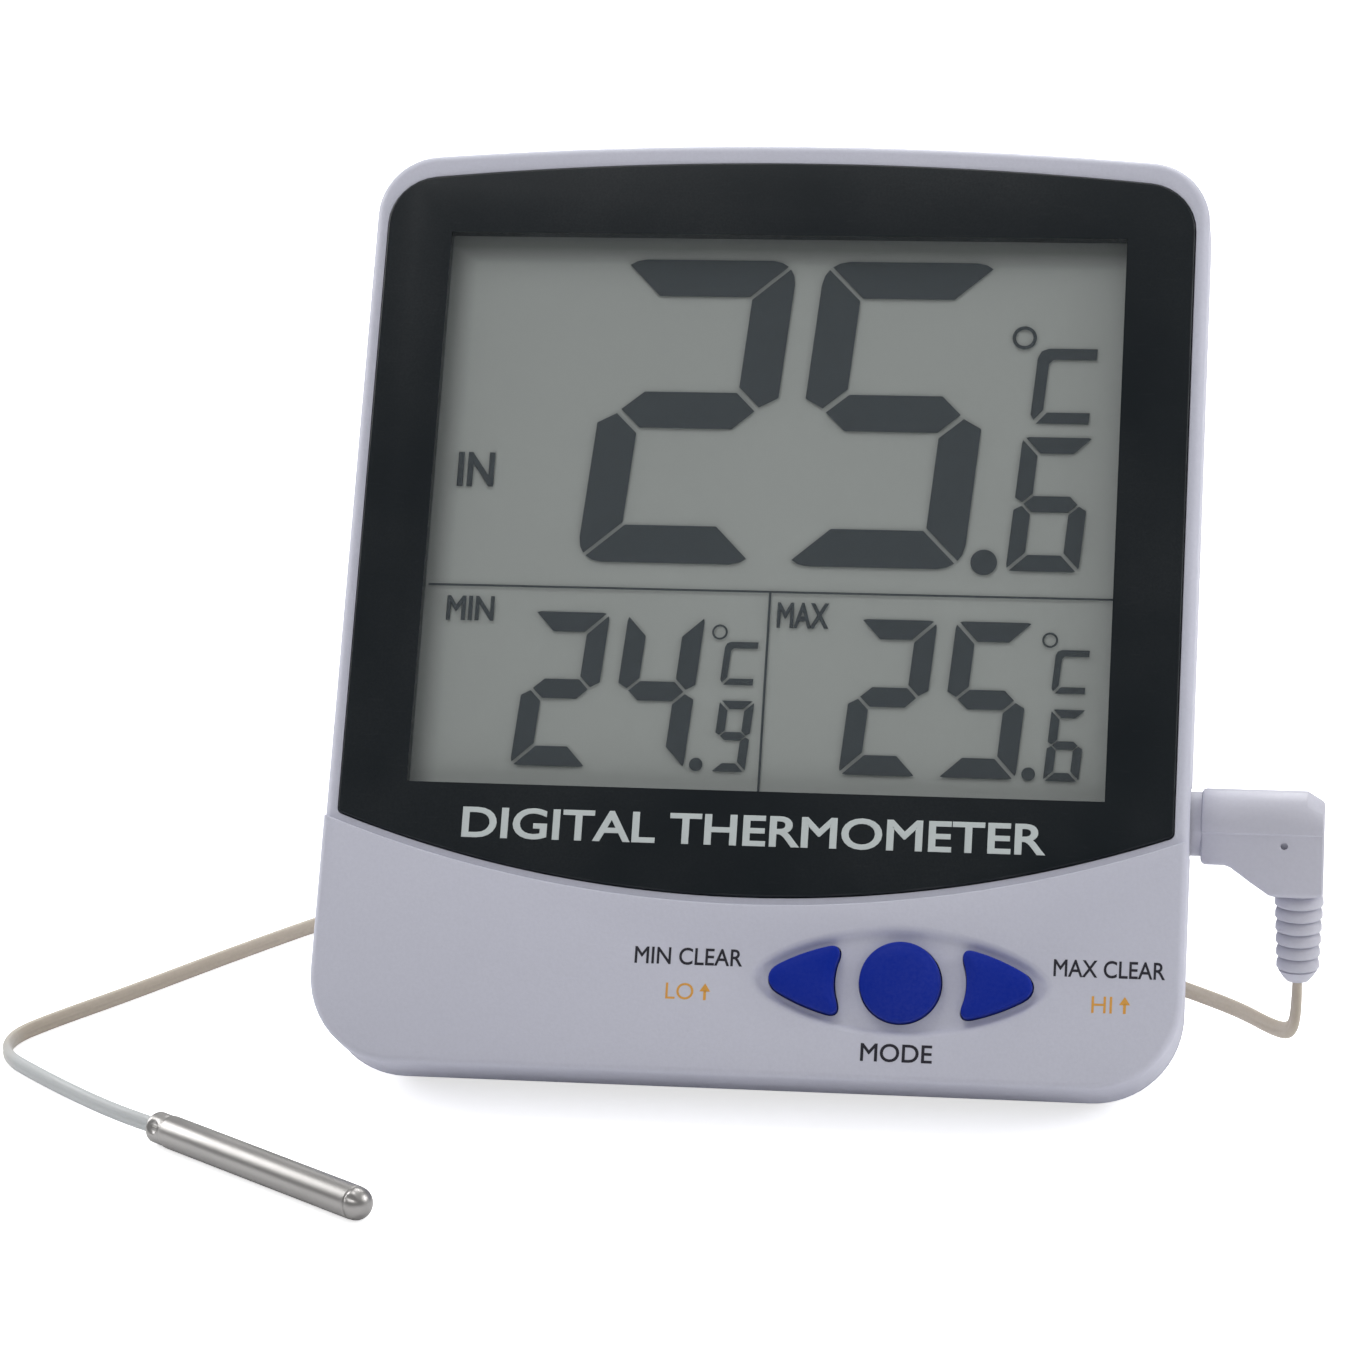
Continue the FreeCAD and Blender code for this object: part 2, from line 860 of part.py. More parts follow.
def make_battery():
    """A small cylinder cell between a leaf spring and a contact plate, and its door."""
    x = cell("cell_across")
    deep = -cell("cell_deep")
    low = cell("bay_low") + 4.0
    high = low + cell("cell_length") - 1.0
    body = new_body("battery")

    def barrel(sketch):
        circle(sketch, x, deep, cell("cell_radius"))

    def nub(sketch):
        circle(sketch, x, deep, 1.9)

    pad(body, barrel, -high, -low, "XZ_Plane")
    pad(body, nub, -high - 1.0, -high + 0.5, "XZ_Plane")
    block("battery_plate", x - 4.2, x + 4.2, high + 1.0, high + 1.4, deep - 4.2, deep + 4.2)
    spring = new_body("battery_spring")
    start = cell("bay_low")

    def leaf_spring(sketch):
        corners = [(start, deep - 4.2), (start + 0.4, deep - 4.2), (start + 0.4, deep + 2.6)]
        corners += [(low - 0.4, deep + 0.4), (low - 0.4, deep - 3.0), (low, deep - 3.0)]
        corners += [(low, deep + 0.7), (start + 0.4, deep + 3.4), (start, deep + 3.4)]
        outline(sketch, corners)

    pad(spring, leaf_spring, x - 3.2, x + 3.2, "YZ_Plane")
    back = -(cell("front_depth") + cell("rear_depth"))
    half = cell("door_half")
    door = new_body("battery_door")

    bead = (cell("door_thick") - 0.05) / 2
    axis = cell("door_low") + bead

    def plate(sketch):
        rectangle(sketch, x - half, x + half, axis, cell("door_high"))

    def hinge_bead(sketch):
        circle(sketch, axis, back + bead, bead)

    def latch_notch(sketch):
        rectangle(sketch, x - 2.6, x - 2.0, cell("door_high") - 5.0, cell("door_high") + 1.0)
        rectangle(sketch, x + 2.0, x + 2.6, cell("door_high") - 5.0, cell("door_high") + 1.0)

    def grip(sketch):
        for number in range(3):
            up = cell("door_high") - 9.0 - 1.8 * number
            rectangle(sketch, x - 3.0, x + 3.0, up - 0.4, up + 0.4)

    rear = back + cell("door_thick")
    pad(door, plate, back, rear - 0.05)
    pad(door, hinge_bead, x - half, x + half, "YZ_Plane")
    pocket(door, latch_notch, back - 1.0, rear + 1.0)
    pad(door, grip, back - 0.3, back + 0.3)


def screw_group(label, places, head_level, length, head_radius, shank_radius):
    """Pan-head screws of one kind as a group of solids, heads towards the back."""
    high = plain(cell("screw_head_high"))
    solids = []
    for x, y in places:
        under = Vector(plain(x), plain(y), head_level)
        head = Part.makeCylinder(head_radius, high, under - AXIS_Z * high, AXIS_Z)
        slot = Part.makeBox(head_radius * 1.5, 0.6, 0.7)
        slot.translate(under + Vector(-head_radius * 0.75, -0.3, -high))
        cross = Part.makeBox(0.6, head_radius * 1.5, 0.7)
        cross.translate(under + Vector(-0.3, -head_radius * 0.75, -high))
        shank = Part.makeCylinder(shank_radius, length, under, AXIS_Z)
        solids.append(head.cut(slot).cut(cross).fuse(shank).removeSplitter())
    group = doc.addObject("Part::Feature", label)
    group.Label = label
    group.Shape = Part.makeCompound(solids)
    PIECES.append(group)
    return group


def make_screws():
    back = plain(cell("front_depth")) + plain(cell("rear_depth"))
    seat = -(back - plain(cell("screw_sunk")))
    head = plain(cell("screw_head"))
    shank = plain(cell("screw_radius"))
    screw_group("case_screws", boss_places(), seat, 13.0, head, shank - 0.05)


def make_stand():
    """The leg, drawn along its own frame: hinge on the X axis, leg towards -Y."""
    body = new_body("stand_leg")
    half = cell("leg_half")
    thick = cell("leg_thick") / 2
    long = cell("leg_length")
    heel = cell("leg_heel")

    def plate(sketch):
        rectangle(sketch, -half, half, -long, heel)

    def opening(sketch):
        rectangle(sketch, -half + 5.5, half - 5.5, -long + 9.0, -11.0)

    def toe(sketch):
        circle(sketch, -long, 0.0, thick)

    def pins(sketch):
        circle(sketch, 0.0, 0.0, cell("hinge_pin"))

    pad(body, plate, -thick, thick)
    pocket(body, opening, -thick - 1.0, thick + 1.0)
    pad(body, toe, -half, half, "YZ_Plane")
    reach = half + 2.2
    pad(body, pins, -reach, reach, "YZ_Plane")
    return body


def leg_angle():
    """How far the leg opens from the case's back so that its toe meets the table."""
    hinge = in_row(0.0, cell("hinge_up"), -cell("hinge_deep"))
    drop = hinge.z - plain(cell("leg_thick")) / 2
    from_vertical = math.degrees(math.acos(drop / plain(cell("leg_length"))))
    return from_vertical + cell("lean").number


# ------------------------------------------------------------------- the plug


def plug_axis():
    """A point on the socket's axis, in the row's frame."""
    return in_row(0.0, cell("socket_up"), -cell("front_depth"))


def make_plug():
    """A right-angle plug: a barrel along X over a block that turns down to the cable."""
    body = new_body("plug_body")
    start = cell("plug_start")
    end = cell("plug_end")
    radius = cell("barrel_radius")
    drop = -cell("plug_drop")
    across = cell("relief_across")
    reach = cell("relief_radius")
    half = cell("plug_block")

    def barrel(sketch):
        circle(sketch, 0.0, 0.0, radius)

    def collar(sketch):
        circle(sketch, 0.0, 0.0, cell("collar_radius"))

    def elbow(sketch):
        corners = [(start + 0.3, 0.0), (start + 0.3, -radius + 0.3), (start + 3.1, -radius + 0.3)]
        corners += [(across - reach - 0.2, drop), (end, drop), (end, 0.0)]
        outline(sketch, corners)

    pad(body, barrel, start, end, "YZ_Plane")
    dress(body, "Chamfer", 1.3, lambda edge: edge.BoundBox.XMin > plain(end) - 0.01)
    pad(body, collar, cell("collar_start"), start + 0.2, "YZ_Plane")
    pad(body, elbow, -half, half, "XZ_Plane")
    dress(
        body,
        "Fillet",
        0.6,
        lambda edge: edge.BoundBox.XLength > 2 and edge.BoundBox.ZMax < -4.0,
    )
    place_at_plug(body)
    make_pin()
    make_relief(plain(drop))


def place_at_plug(piece):
    piece.Placement = Placement(plug_axis(), Rotation())


def make_pin():
    """The plug's pin: sleeve, insulating ring and tip on one axis."""
    root = plain(cell("collar_start"))
    tip_end = plain(cell("pin_tip_end"))
    radius = cell("pin_radius")
    sleeve = new_body("plug_sleeve")
    ring = new_body("plug_insulator")
    tip = new_body("plug_tip")

    def full(sketch):
        circle(sketch, 0.0, 0.0, radius)

    def thin(sketch):
        circle(sketch, 0.0, 0.0, radius - 0.12)

    ring_end = tip_end + 4.6
    sleeve_end = ring_end + 0.9
    pad(sleeve, full, sleeve_end, root, "YZ_Plane")
    pad(ring, thin, ring_end, sleeve_end, "YZ_Plane")

    def bullet(sketch):
        corners = [(tip_end, 0.0), (ring_end, 0.0), (ring_end, radius - 0.55)]
        corners += [(ring_end - 1.5, radius - 0.55), (ring_end - 2.0, radius), (tip_end + 1.3, radius)]
        corners += [(tip_end, 0.5)]
        outline(sketch, corners)

    revolve(tip, bullet, "XZ_Plane", "H_Axis")
    for piece in (sleeve, ring, tip):
        place_at_plug(piece)


def make_relief(top):
    """The ribbed strain relief under the plug, tapering to the cable."""
    body = new_body("strain_relief")
    length = plain(cell("relief_length"))
    wide = plain(cell("relief_radius"))
    ribs = 6
    pitch = (length - 1.9) / ribs
    corners = [(0.0, top - length), (0.0, top), (wide - 0.5, top)]
    for number in range(ribs):
        rise = top - pitch * number
        radius = wide - 0.06 * number
        corners += [(radius - 0.5, rise - 0.45), (radius, rise - 0.55), (radius, rise - pitch + 0.05)]
    end = wide - 0.06 * ribs
    corners += [(end - 0.3, top - pitch * ribs - 0.2), (1.35, top - length)]
    revolve(body, lambda sketch: outline(sketch, corners))
    offset = Vector(plain(cell("relief_across")), 0, 0)
    body.Placement = Placement(plug_axis() + offset, Rotation())


# ------------------------------------------------------------------ the cable


def relief_mouth():
    """Where the cable leaves the strain relief, heading down."""
    drop = plain(cell("plug_drop")) + plain(cell("relief_length"))
    return plug_axis() + Vector(plain(cell("relief_across")), 0, -drop)


def near_route():
    """From the strain relief down to the table and back to the coil."""
    x, y, z = relief_mouth()
    lie = plain(cell("cable_lie"))
    return [
        Vector(x, y, z),
        Vector(x, y, 7.5),
        Vector(61.9, y + 3.6, 3.9),
        Vector(59.6, 16.0, 3.0),
        Vector(55.6, 24.2, 2.3),
        Vector(49.4, 32.8, 1.5),
        Vector(42.5, 40.6, lie),
        Vector(35.0, 50.4, lie),
        Vector(28.6, 61.4, lie),
        Vector(22.4, 70.6, 1.6),
        Vector(17.6, 79.0, 2.6),
        Vector(16.0, 86.0, 3.2),
    ]


def far_route():
    """From the coil round behind the case's left side to the probe."""
    lie = plain(cell("cable_lie"))
    return [
        Vector(-2.0, 96.4, 7.4),
        Vector(-10.0, 94.4, 5.6),
        Vector(-19.4, 90.4, 3.2),
        Vector(-31.0, 84.0, 1.5),
        Vector(-42.8, 75.6, lie),
        Vector(-54.0, 63.6, lie),
        Vector(-64.3, 47.9, lie),
        Vector(-73.0, 32.8, lie),
        Vector(-81.2, 17.6, lie),
        Vector(-87.2, 7.6, lie),
        Vector(-90.6, 0.6, lie),
        Vector(-89.4, -5.8, lie),
        Vector(-84.0, -11.4, lie),
        Vector(-76.6, -18.4, 1.1),
        Vector(-70.2, -24.4, 1.5),
        probe_placement().Base,
    ]


def rounded_path(label, points):
    """Straight runs joined by tangent arcs, each as large as its two runs allow."""
    edges = []
    start = points[0]
    for before, corner, after in zip(points, points[1:], points[2:]):
        into = corner - before
        out = after - corner
        turn = into.getAngle(out)
        shorter = min(into.Length, out.Length)
        radius = 0.45 * shorter / math.tan(turn / 2)
        back = corner - Vector(into).normalize() * 0.45 * shorter
        ahead = corner + Vector(out).normalize() * 0.45 * shorter
        towards = (Vector(out).normalize() - Vector(into).normalize()).normalize()
        middle = corner + towards * (radius / math.cos(turn / 2) - radius)
        edges.append(Part.makeLine(start, back))
        edges.append(Part.Arc(back, middle, ahead).toShape())
        print(f"{label}: turn {math.degrees(turn):.0f} degrees, radius {radius:.1f} mm")
        start = ahead
    edges.append(Part.makeLine(start, points[-1]))
    total = sum(edge.Length for edge in edges)
    return Part.Wire(edges), total


def make_tube(label, points):
    """A round tube along the rounded path, checked against section times length."""
    path, length = rounded_path(label, points)
    radius = plain(cell("cable_radius"))
    heading = points[1] - points[0]
    section = Part.Wire(Part.makeCircle(radius, points[0], heading))
    tube = path.makePipeShell([section], True, False)
    ratio = tube.Volume / (math.pi * radius ** 2 * length)
    print(f"{label}: length {length:.1f} mm, volume over section times length {ratio:.4f}")
    if abs(ratio - 1) > 0.01:
        raise RuntimeError(f"{label}: the tube's volume is wrong")
    piece = doc.addObject("Part::Feature", label)
    piece.Label = label
    piece.Shape = tube
    PIECES.append(piece)
    return length


def make_coil():
    """The put-away length as one ring, and the tie that holds it."""
    centre = Vector(plain(cell("coil_across")), plain(cell("coil_back")), plain(cell("tie_outer")))
    ring = doc.addObject("Part::Torus", "cable_coil")
    ring.Label = "cable_coil"
    bind(ring, "Radius1", cell("coil_radius"))
    bind(ring, "Radius2", cell("bundle_radius"))
    ring.Placement = Placement(centre, Rotation())
    PIECES.append(ring)
    tie = new_body("cable_tie")

    def band(sketch):
        circle(sketch, 0.0, 0.0, cell("tie_outer"))

    def inside(sketch):
        circle(sketch, 0.0, 0.0, cell("tie_inner"))

    width = cell("tie_width") / 2
    pad(tie, band, -width, width, "YZ_Plane")
    pocket(tie, inside, -width - 1.0, width + 1.0, "YZ_Plane")
    front = Vector(0, -plain(cell("coil_radius")), 0)
    tie.Placement = Placement(centre + front, Rotation())


# ------------------------------------------------------------------ the probe


def probe_placement():
    """The probe lies on the table: its own X axis runs from the cable to the tip."""
    place = Vector(
        plain(cell("probe_end_x")), plain(cell("probe_end_y")), plain(cell("probe_radius"))
    )
    return Placement(place, Rotation(AXIS_Z, plain(cell("probe_heading"))))


def make_probe():
    radius = cell("probe_radius")
    bore = cell("probe_bore")
    length = cell("probe_length")
    tube = new_body("probe_tube")

    def wall(sketch):
        corners = [(0.0, bore), (length - radius - 0.6, bore), (length - radius - 0.6, 0.0)]
        corners += [(length, 0.0), (length - radius, radius), (0.4, radius), (0.0, radius - 0.3)]
        outline(sketch, corners, {3: (radius, 1)})

    revolve(tube, wall, "XZ_Plane", "H_Axis")
    potting = new_body("probe_potting")
    bead = new_body("thermistor")

    def plug(sketch):
        circle(sketch, 0.0, 0.0, bore)

    def bulb(sketch):
        circle(sketch, 0.0, 0.0, bore - 0.4)

    pad(potting, plug, 0.0, 7.0, "YZ_Plane")
    pad(bead, bulb, length - 8.0, length - radius - 0.6, "YZ_Plane")
    for piece in (tube, potting, bead):
        piece.Placement = probe_placement()


# ------------------------------------------------------------------ assembly


def build_case():
    make_front_case()
    make_rear_case()
    make_lens()
    make_display()
    make_board()
    make_switch_knob()
    make_keys()
    make_jack()
    make_battery()
    make_screws()
    for piece in PIECES:
        piece.Placement = face_placement()


def build_stand():
    leg = make_stand()
    hinge = Vector(0, plain(cell("hinge_up")), -plain(cell("hinge_deep")))
    opened = Placement(hinge, Rotation(AXIS_X, leg_angle()))
    leg.Placement = face_placement().multiply(opened)
    print(f"stand_leg: open by {leg_angle():.2f} degrees")


def build_lead():
    make_plug()
    near = make_tube("cable_to_coil", near_route())
    far = make_tube("cable_to_probe", far_route())
    make_coil()
    make_probe()
    print(f"cable outside the coil: {near + far:.1f} mm")


def check_document():
    for item in doc.Objects:
        bad = [word for word in item.State if word in ("Invalid", "Error")]
        if bad:
            raise RuntimeError(f"{item.Label}: {bad}")
    for piece in PIECES:
        if piece.Shape.isNull() or not piece.Shape.isValid():
            raise RuntimeError(f"{piece.Label}: its shape is null or not valid")


def write_parts():
    os.makedirs("parts", exist_ok=True)
    for piece in PIECES:
        piece.Shape.exportStep(f"parts/{piece.Label}.step")
        box = piece.Shape.BoundBox
        print(f"{piece.Label}: {len(piece.Shape.Solids)} solid, z {box.ZMin:.2f} to {box.ZMax:.2f}")


fill_sheet()
build_case()
build_stand()
build_lead()
doc.recompute()
check_document()
write_parts()
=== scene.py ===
import math

import bmesh
import bpy
from bpy.props import FloatProperty, FloatVectorProperty, IntProperty, PointerProperty
from mathutils import Matrix, Vector


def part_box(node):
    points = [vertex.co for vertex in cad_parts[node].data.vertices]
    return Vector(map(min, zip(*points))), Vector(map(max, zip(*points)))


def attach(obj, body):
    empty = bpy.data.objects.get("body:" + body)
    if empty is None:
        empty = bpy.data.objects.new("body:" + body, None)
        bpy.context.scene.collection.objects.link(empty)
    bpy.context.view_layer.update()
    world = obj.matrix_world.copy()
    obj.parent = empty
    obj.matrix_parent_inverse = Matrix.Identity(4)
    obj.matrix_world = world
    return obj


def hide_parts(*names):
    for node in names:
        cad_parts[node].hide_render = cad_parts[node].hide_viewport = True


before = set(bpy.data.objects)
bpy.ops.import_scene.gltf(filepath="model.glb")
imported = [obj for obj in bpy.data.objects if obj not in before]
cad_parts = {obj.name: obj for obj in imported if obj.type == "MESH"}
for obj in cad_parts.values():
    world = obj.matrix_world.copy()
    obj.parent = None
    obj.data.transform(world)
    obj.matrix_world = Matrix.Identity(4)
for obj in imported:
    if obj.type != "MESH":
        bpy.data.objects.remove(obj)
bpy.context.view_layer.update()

bl_info = {
    "name": "Wired Probe Thermometer",
    "version": (1, 0, 0),
    "blender": (4, 5, 0),
    "location": "3D View > Sidebar > Thermometer",
    "description": "Dresses the thermometer's packed frame: lead, case, window, display, keys and plug",
    "category": "Add Mesh",
}

MM = 0.001

# The face frame: X to the right, Y up the face from its bottom edge, Z out of it,
# in millimetres.  FACE stands it up as the case stands, leaning back.
LEAN = math.radians(30)
FOOT_DROP = 6.6
FOOT_BACK = 18.0
FACE = (
    Matrix.Translation((0, -FOOT_BACK * MM, FOOT_DROP * MM))
    @ Matrix.Rotation(math.pi / 2 - LEAN, 4, "X")
    @ Matrix.Scale(MM, 4)
)
ROW = Matrix.Scale(MM, 4)
UP_FACE = FACE.to_3x3() @ Vector((0, 1, 0)) / MM

# the sky's strength at the horizon and overhead, and the floor's glow to the camera
SKY_LOW = 0.19
SKY_HIGH = 0.66
FLOOR_GLOW = 0.7


def shade(red, green, blue):
    """A colour given as screen values from 0 to 255, as the linear colour that materials take."""
    return tuple((value / 255) ** 2.2 for value in (red, green, blue))


# ------------------------------------------------------------------ settings


class ThermometerSizes(bpy.types.PropertyGroup):
    """Sizes a user would change."""

    cable_length: FloatProperty(
        name="Lead length",
        description="Length of the whole lead from the plug to the probe",
        default=1.5,
        unit="LENGTH",
    )
    cable_diameter: FloatProperty(
        name="Lead width", description="Width of the twin lead", default=0.002, unit="LENGTH"
    )
    coil_radius: FloatProperty(
        name="Coil radius",
        description="Mean radius of the put-away turns",
        default=0.012,
        unit="LENGTH",
    )
    key_crown: FloatProperty(
        name="Key crown", description="How far a key's middle stands above its edge", default=0.0005,
        unit="LENGTH",
    )
    recess_depth: FloatProperty(
        name="Key recess", description="Depth of the dish round the keys", default=0.0008, unit="LENGTH"
    )
    edge_round: FloatProperty(
        name="Edge rounding",
        description="Radius on the small moulded edges of the rear shell, door and leg",
        default=0.00035,
        unit="LENGTH",
    )
    relief_ribs: IntProperty(
        name="Relief ribs", description="Ribs on the strain relief", default=6, min=3, max=10
    )


class ThermometerColours(bpy.types.PropertyGroup):
    """Colours of the finishes."""

    case: FloatVectorProperty(
        name="Case", description="Moulded case plastic", subtype="COLOR", default=shade(201, 202, 216)
    )
    border: FloatVectorProperty(
        name="Border", description="Printed border of the window", subtype="COLOR",
        default=shade(18, 26, 31),
    )
    film: FloatVectorProperty(
        name="Display", description="Unlit display film", subtype="COLOR", default=shade(168, 173, 170)
    )
    segments: FloatVectorProperty(
        name="Segments", description="Dark display segments", subtype="COLOR",
        default=shade(50, 58, 64),
    )
    keys: FloatVectorProperty(
        name="Keys", description="Rubber keys", subtype="COLOR", default=shade(1, 42, 150)
    )
    plug: FloatVectorProperty(
        name="Plug", description="Soft moulded plug", subtype="COLOR", default=shade(196, 196, 208)
    )
    lead: FloatVectorProperty(
        name="Lead", description="Aged jacket of the lead", subtype="COLOR",
        default=shade(182, 170, 153),
    )


# ------------------------------------------------------------- outline tools


class Side:
    """One side of an outline: straight, or bowed with a radius, outwards if positive."""

    def __init__(self, start, end, bow):
        self.start = Vector(start)
        self.end = Vector(end)
        chord = self.end - self.start
        self.length = chord.length
        self.bow = bow
        if bow:
            radius = abs(bow)
            rise = math.sqrt(radius ** 2 - (chord.length / 2) ** 2)
            left = Vector((-chord.y, chord.x)).normalized()
            self.turn = 1 if bow > 0 else -1
            self.centre = (self.start + self.end) / 2 + left * rise * self.turn
            first = self.start - self.centre
            self.angle = math.atan2(first.y, first.x)
            self.length = 2 * radius * math.asin(chord.length / 2 / radius)

    def at(self, distance):
        if not self.bow:
            return self.start.lerp(self.end, distance / self.length)
        radius = abs(self.bow)
        angle = self.angle + self.turn * distance / radius
        return self.centre + Vector((math.cos(angle), math.sin(angle))) * radius

    def heading(self, distance):
        step = self.length * 1e-4
        return (self.at(distance + step) - self.at(distance - step)).normalized()


def outline(corners, spacing=1.2, per_corner=8):
    """A closed outline in mm, counterclockwise, through corners (x, y, rounding, bow to the next)."""
    count = len(corners)
    sides = []
    for index, (x, y, _, bow) in enumerate(corners):
        following = corners[(index + 1) % count]
        sides.append(Side((x, y), following[:2], bow))
    trims = []
    for index, corner in enumerate(corners):
        arriving = sides[index - 1].heading(sides[index - 1].length)
        leaving = sides[index].heading(0)
        turn = arriving.angle(leaving)
        trims.append(corner[2] * math.tan(turn / 2))
    points = []
    for index, corner in enumerate(corners):
        before = sides[index - 1]
        side = sides[index]
        trim = trims[index]
        if corner[2]:
            start = before.at(before.length - trim)
            end = side.at(trim)
            reach = trim * 0.56
            first = start + before.heading(before.length - trim) * reach
            second = end - side.heading(trim) * reach
            for step in range(per_corner):
                t = step / per_corner
                points.append(
                    start * (1 - t) ** 3 + first * 3 * t * (1 - t) ** 2
                    + second * 3 * t ** 2 * (1 - t) + end * t ** 3
                )
        run = side.length - trim - trims[(index + 1) % count]
        pieces = max(1, round(run / spacing))
        for step in range(pieces):
            points.append(side.at(trim + run * step / pieces))
    return points


def ring(x, y, radius, count=64):
    angles = [2 * math.pi * step / count for step in range(count)]
    return [Vector((x + radius * math.cos(a), y + radius * math.sin(a))) for a in angles]


def inset(points, distance):
    """The outline moved inwards by distance, corners mitred."""
    count = len(points)
    moved = []
    for index, point in enumerate(points):
        into = (point - points[index - 1]).normalized()
        out = (points[(index + 1) % count] - point).normalized()
        normal = Vector((-into.y - out.y, into.x + out.x)).normalized()
        stretch = max(0.5, normal.dot(Vector((-into.y, into.x))))
        moved.append(point + normal * distance / stretch)
    return moved


def level(points, z):
    return [Vector((point.x, point.y, z)) for point in points]


def rounded_rings(points, low, high, radius, steps=5):
    """Rings of a slab from low to high whose upper edge is rounded."""
    rings = [level(points, low)]
    for step in range(steps + 1):
        angle = math.pi / 2 * step / steps
        back = radius * (1 - math.cos(angle))
        rings.append(level(inset(points, back), high - radius + radius * math.sin(angle)))
    return rings


# ---------------------------------------------------------------- mesh tools


def loft(rings, closed=False):
    """Vertices and faces of a skin over rings of equal count, capped unless closed on itself."""
    count = len(rings[0])
    verts = [point for points in rings for point in points]
    faces = []
    spans = len(rings) if closed else len(rings) - 1
    for span in range(spans):
        low = span * count
        high = (span + 1) % len(rings) * count
        for index in range(count):
            after = (index + 1) % count
            faces.append((low + index, low + after, high + after, high + index))
    if not closed:
        faces.append(tuple(reversed(range(count))))
        top = (len(rings) - 1) * count
        faces.append(tuple(range(top, top + count)))
    return verts, faces


def lathe(profile, count=48, axis="Z"):
    """A turned solid: profile is (radius, height) from the bottom up, in mm."""
    rings = []
    for radius, height in profile:
        points = []
        for step in range(count):
            angle = 2 * math.pi * step / count
            across = Vector((radius * math.cos(angle), radius * math.sin(angle), height))
            points.append(across if axis == "Z" else Vector((across.z, across.x, across.y)))
        rings.append(points)
    return loft(rings)


def new_object(name, verts, faces, place=FACE, sharp=35.0):
    """A mesh object with its place baked into its vertices and edges over sharp degrees kept crisp."""
    mesh = bpy.data.meshes.new(name)
    mesh.from_pydata([place @ Vector(point) for point in verts], [], faces)
    mesh.validate()
    tidy = bmesh.new()
    tidy.from_mesh(mesh)
    bmesh.ops.remove_doubles(tidy, verts=tidy.verts, dist=1e-7)
    bmesh.ops.recalc_face_normals(tidy, faces=tidy.faces)
    tidy.to_mesh(mesh)
    tidy.free()
    mesh.shade_smooth()
    mesh.set_sharp_from_angle(angle=math.radians(sharp))
    piece = bpy.data.objects.new(name, mesh)
    bpy.context.scene.collection.objects.link(piece)
    return piece


def finish_piece(piece, body, slot, material, *replaced):
    piece.data.materials.clear()
    piece.data.materials.append(material)
    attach(piece, body)
    if replaced:
        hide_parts(*replaced)
    return piece


def apply_modifiers(piece):
    bpy.context.view_layer.update()
    graph = bpy.context.evaluated_depsgraph_get()
    mesh = bpy.data.meshes.new_from_object(piece.evaluated_get(graph))
    piece.modifiers.clear()
    piece.data = mesh
    return piece


def cut(piece, tool, operation="DIFFERENCE"):
    """Combine piece with tool, and discard the tool."""
    modifier = piece.modifiers.new(operation.lower(), "BOOLEAN")
    modifier.operation = operation
    modifier.solver = "EXACT"
    modifier.object = tool
    apply_modifiers(piece)
    if not piece.data.polygons:
        raise RuntimeError(f"{piece.name}: {operation} with {tool.name} left nothing")
    bpy.data.objects.remove(tool)


def prism(points, low, high, place=FACE):
    return new_object("cutter", *loft([level(points, low), level(points, high)]), place=place)


def crisp(piece, angle=35.0):
    piece.data.shade_smooth()
    piece.data.set_sharp_from_angle(angle=math.radians(angle))


def softened_copy(node, name, radius, segments=3):
    """A copy of a frame node's shape with its flat faces merged and its edges rounded."""
    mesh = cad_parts[node].data.copy()
    tidy = bmesh.new()
    tidy.from_mesh(mesh)
    bmesh.ops.remove_doubles(tidy, verts=tidy.verts, dist=2e-6)
    bmesh.ops.dissolve_limit(
        tidy, angle_limit=math.radians(1.0), verts=tidy.verts, edges=tidy.edges
    )
    tidy.to_mesh(mesh)
    tidy.free()
    piece = bpy.data.objects.new(name, mesh)
    bpy.context.scene.collection.objects.link(piece)
    bevel = piece.modifiers.new("edges", "BEVEL")
    bevel.width = radius
    bevel.segments = segments
    bevel.limit_method = "ANGLE"
    bevel.angle_limit = math.radians(40)
    bevel.use_clamp_overlap = True
    bevel.miter_outer = "MITER_ARC"
    apply_modifiers(piece)
    crisp(piece, 40.0)
    return piece


# ----------------------------------------------------------------- materials


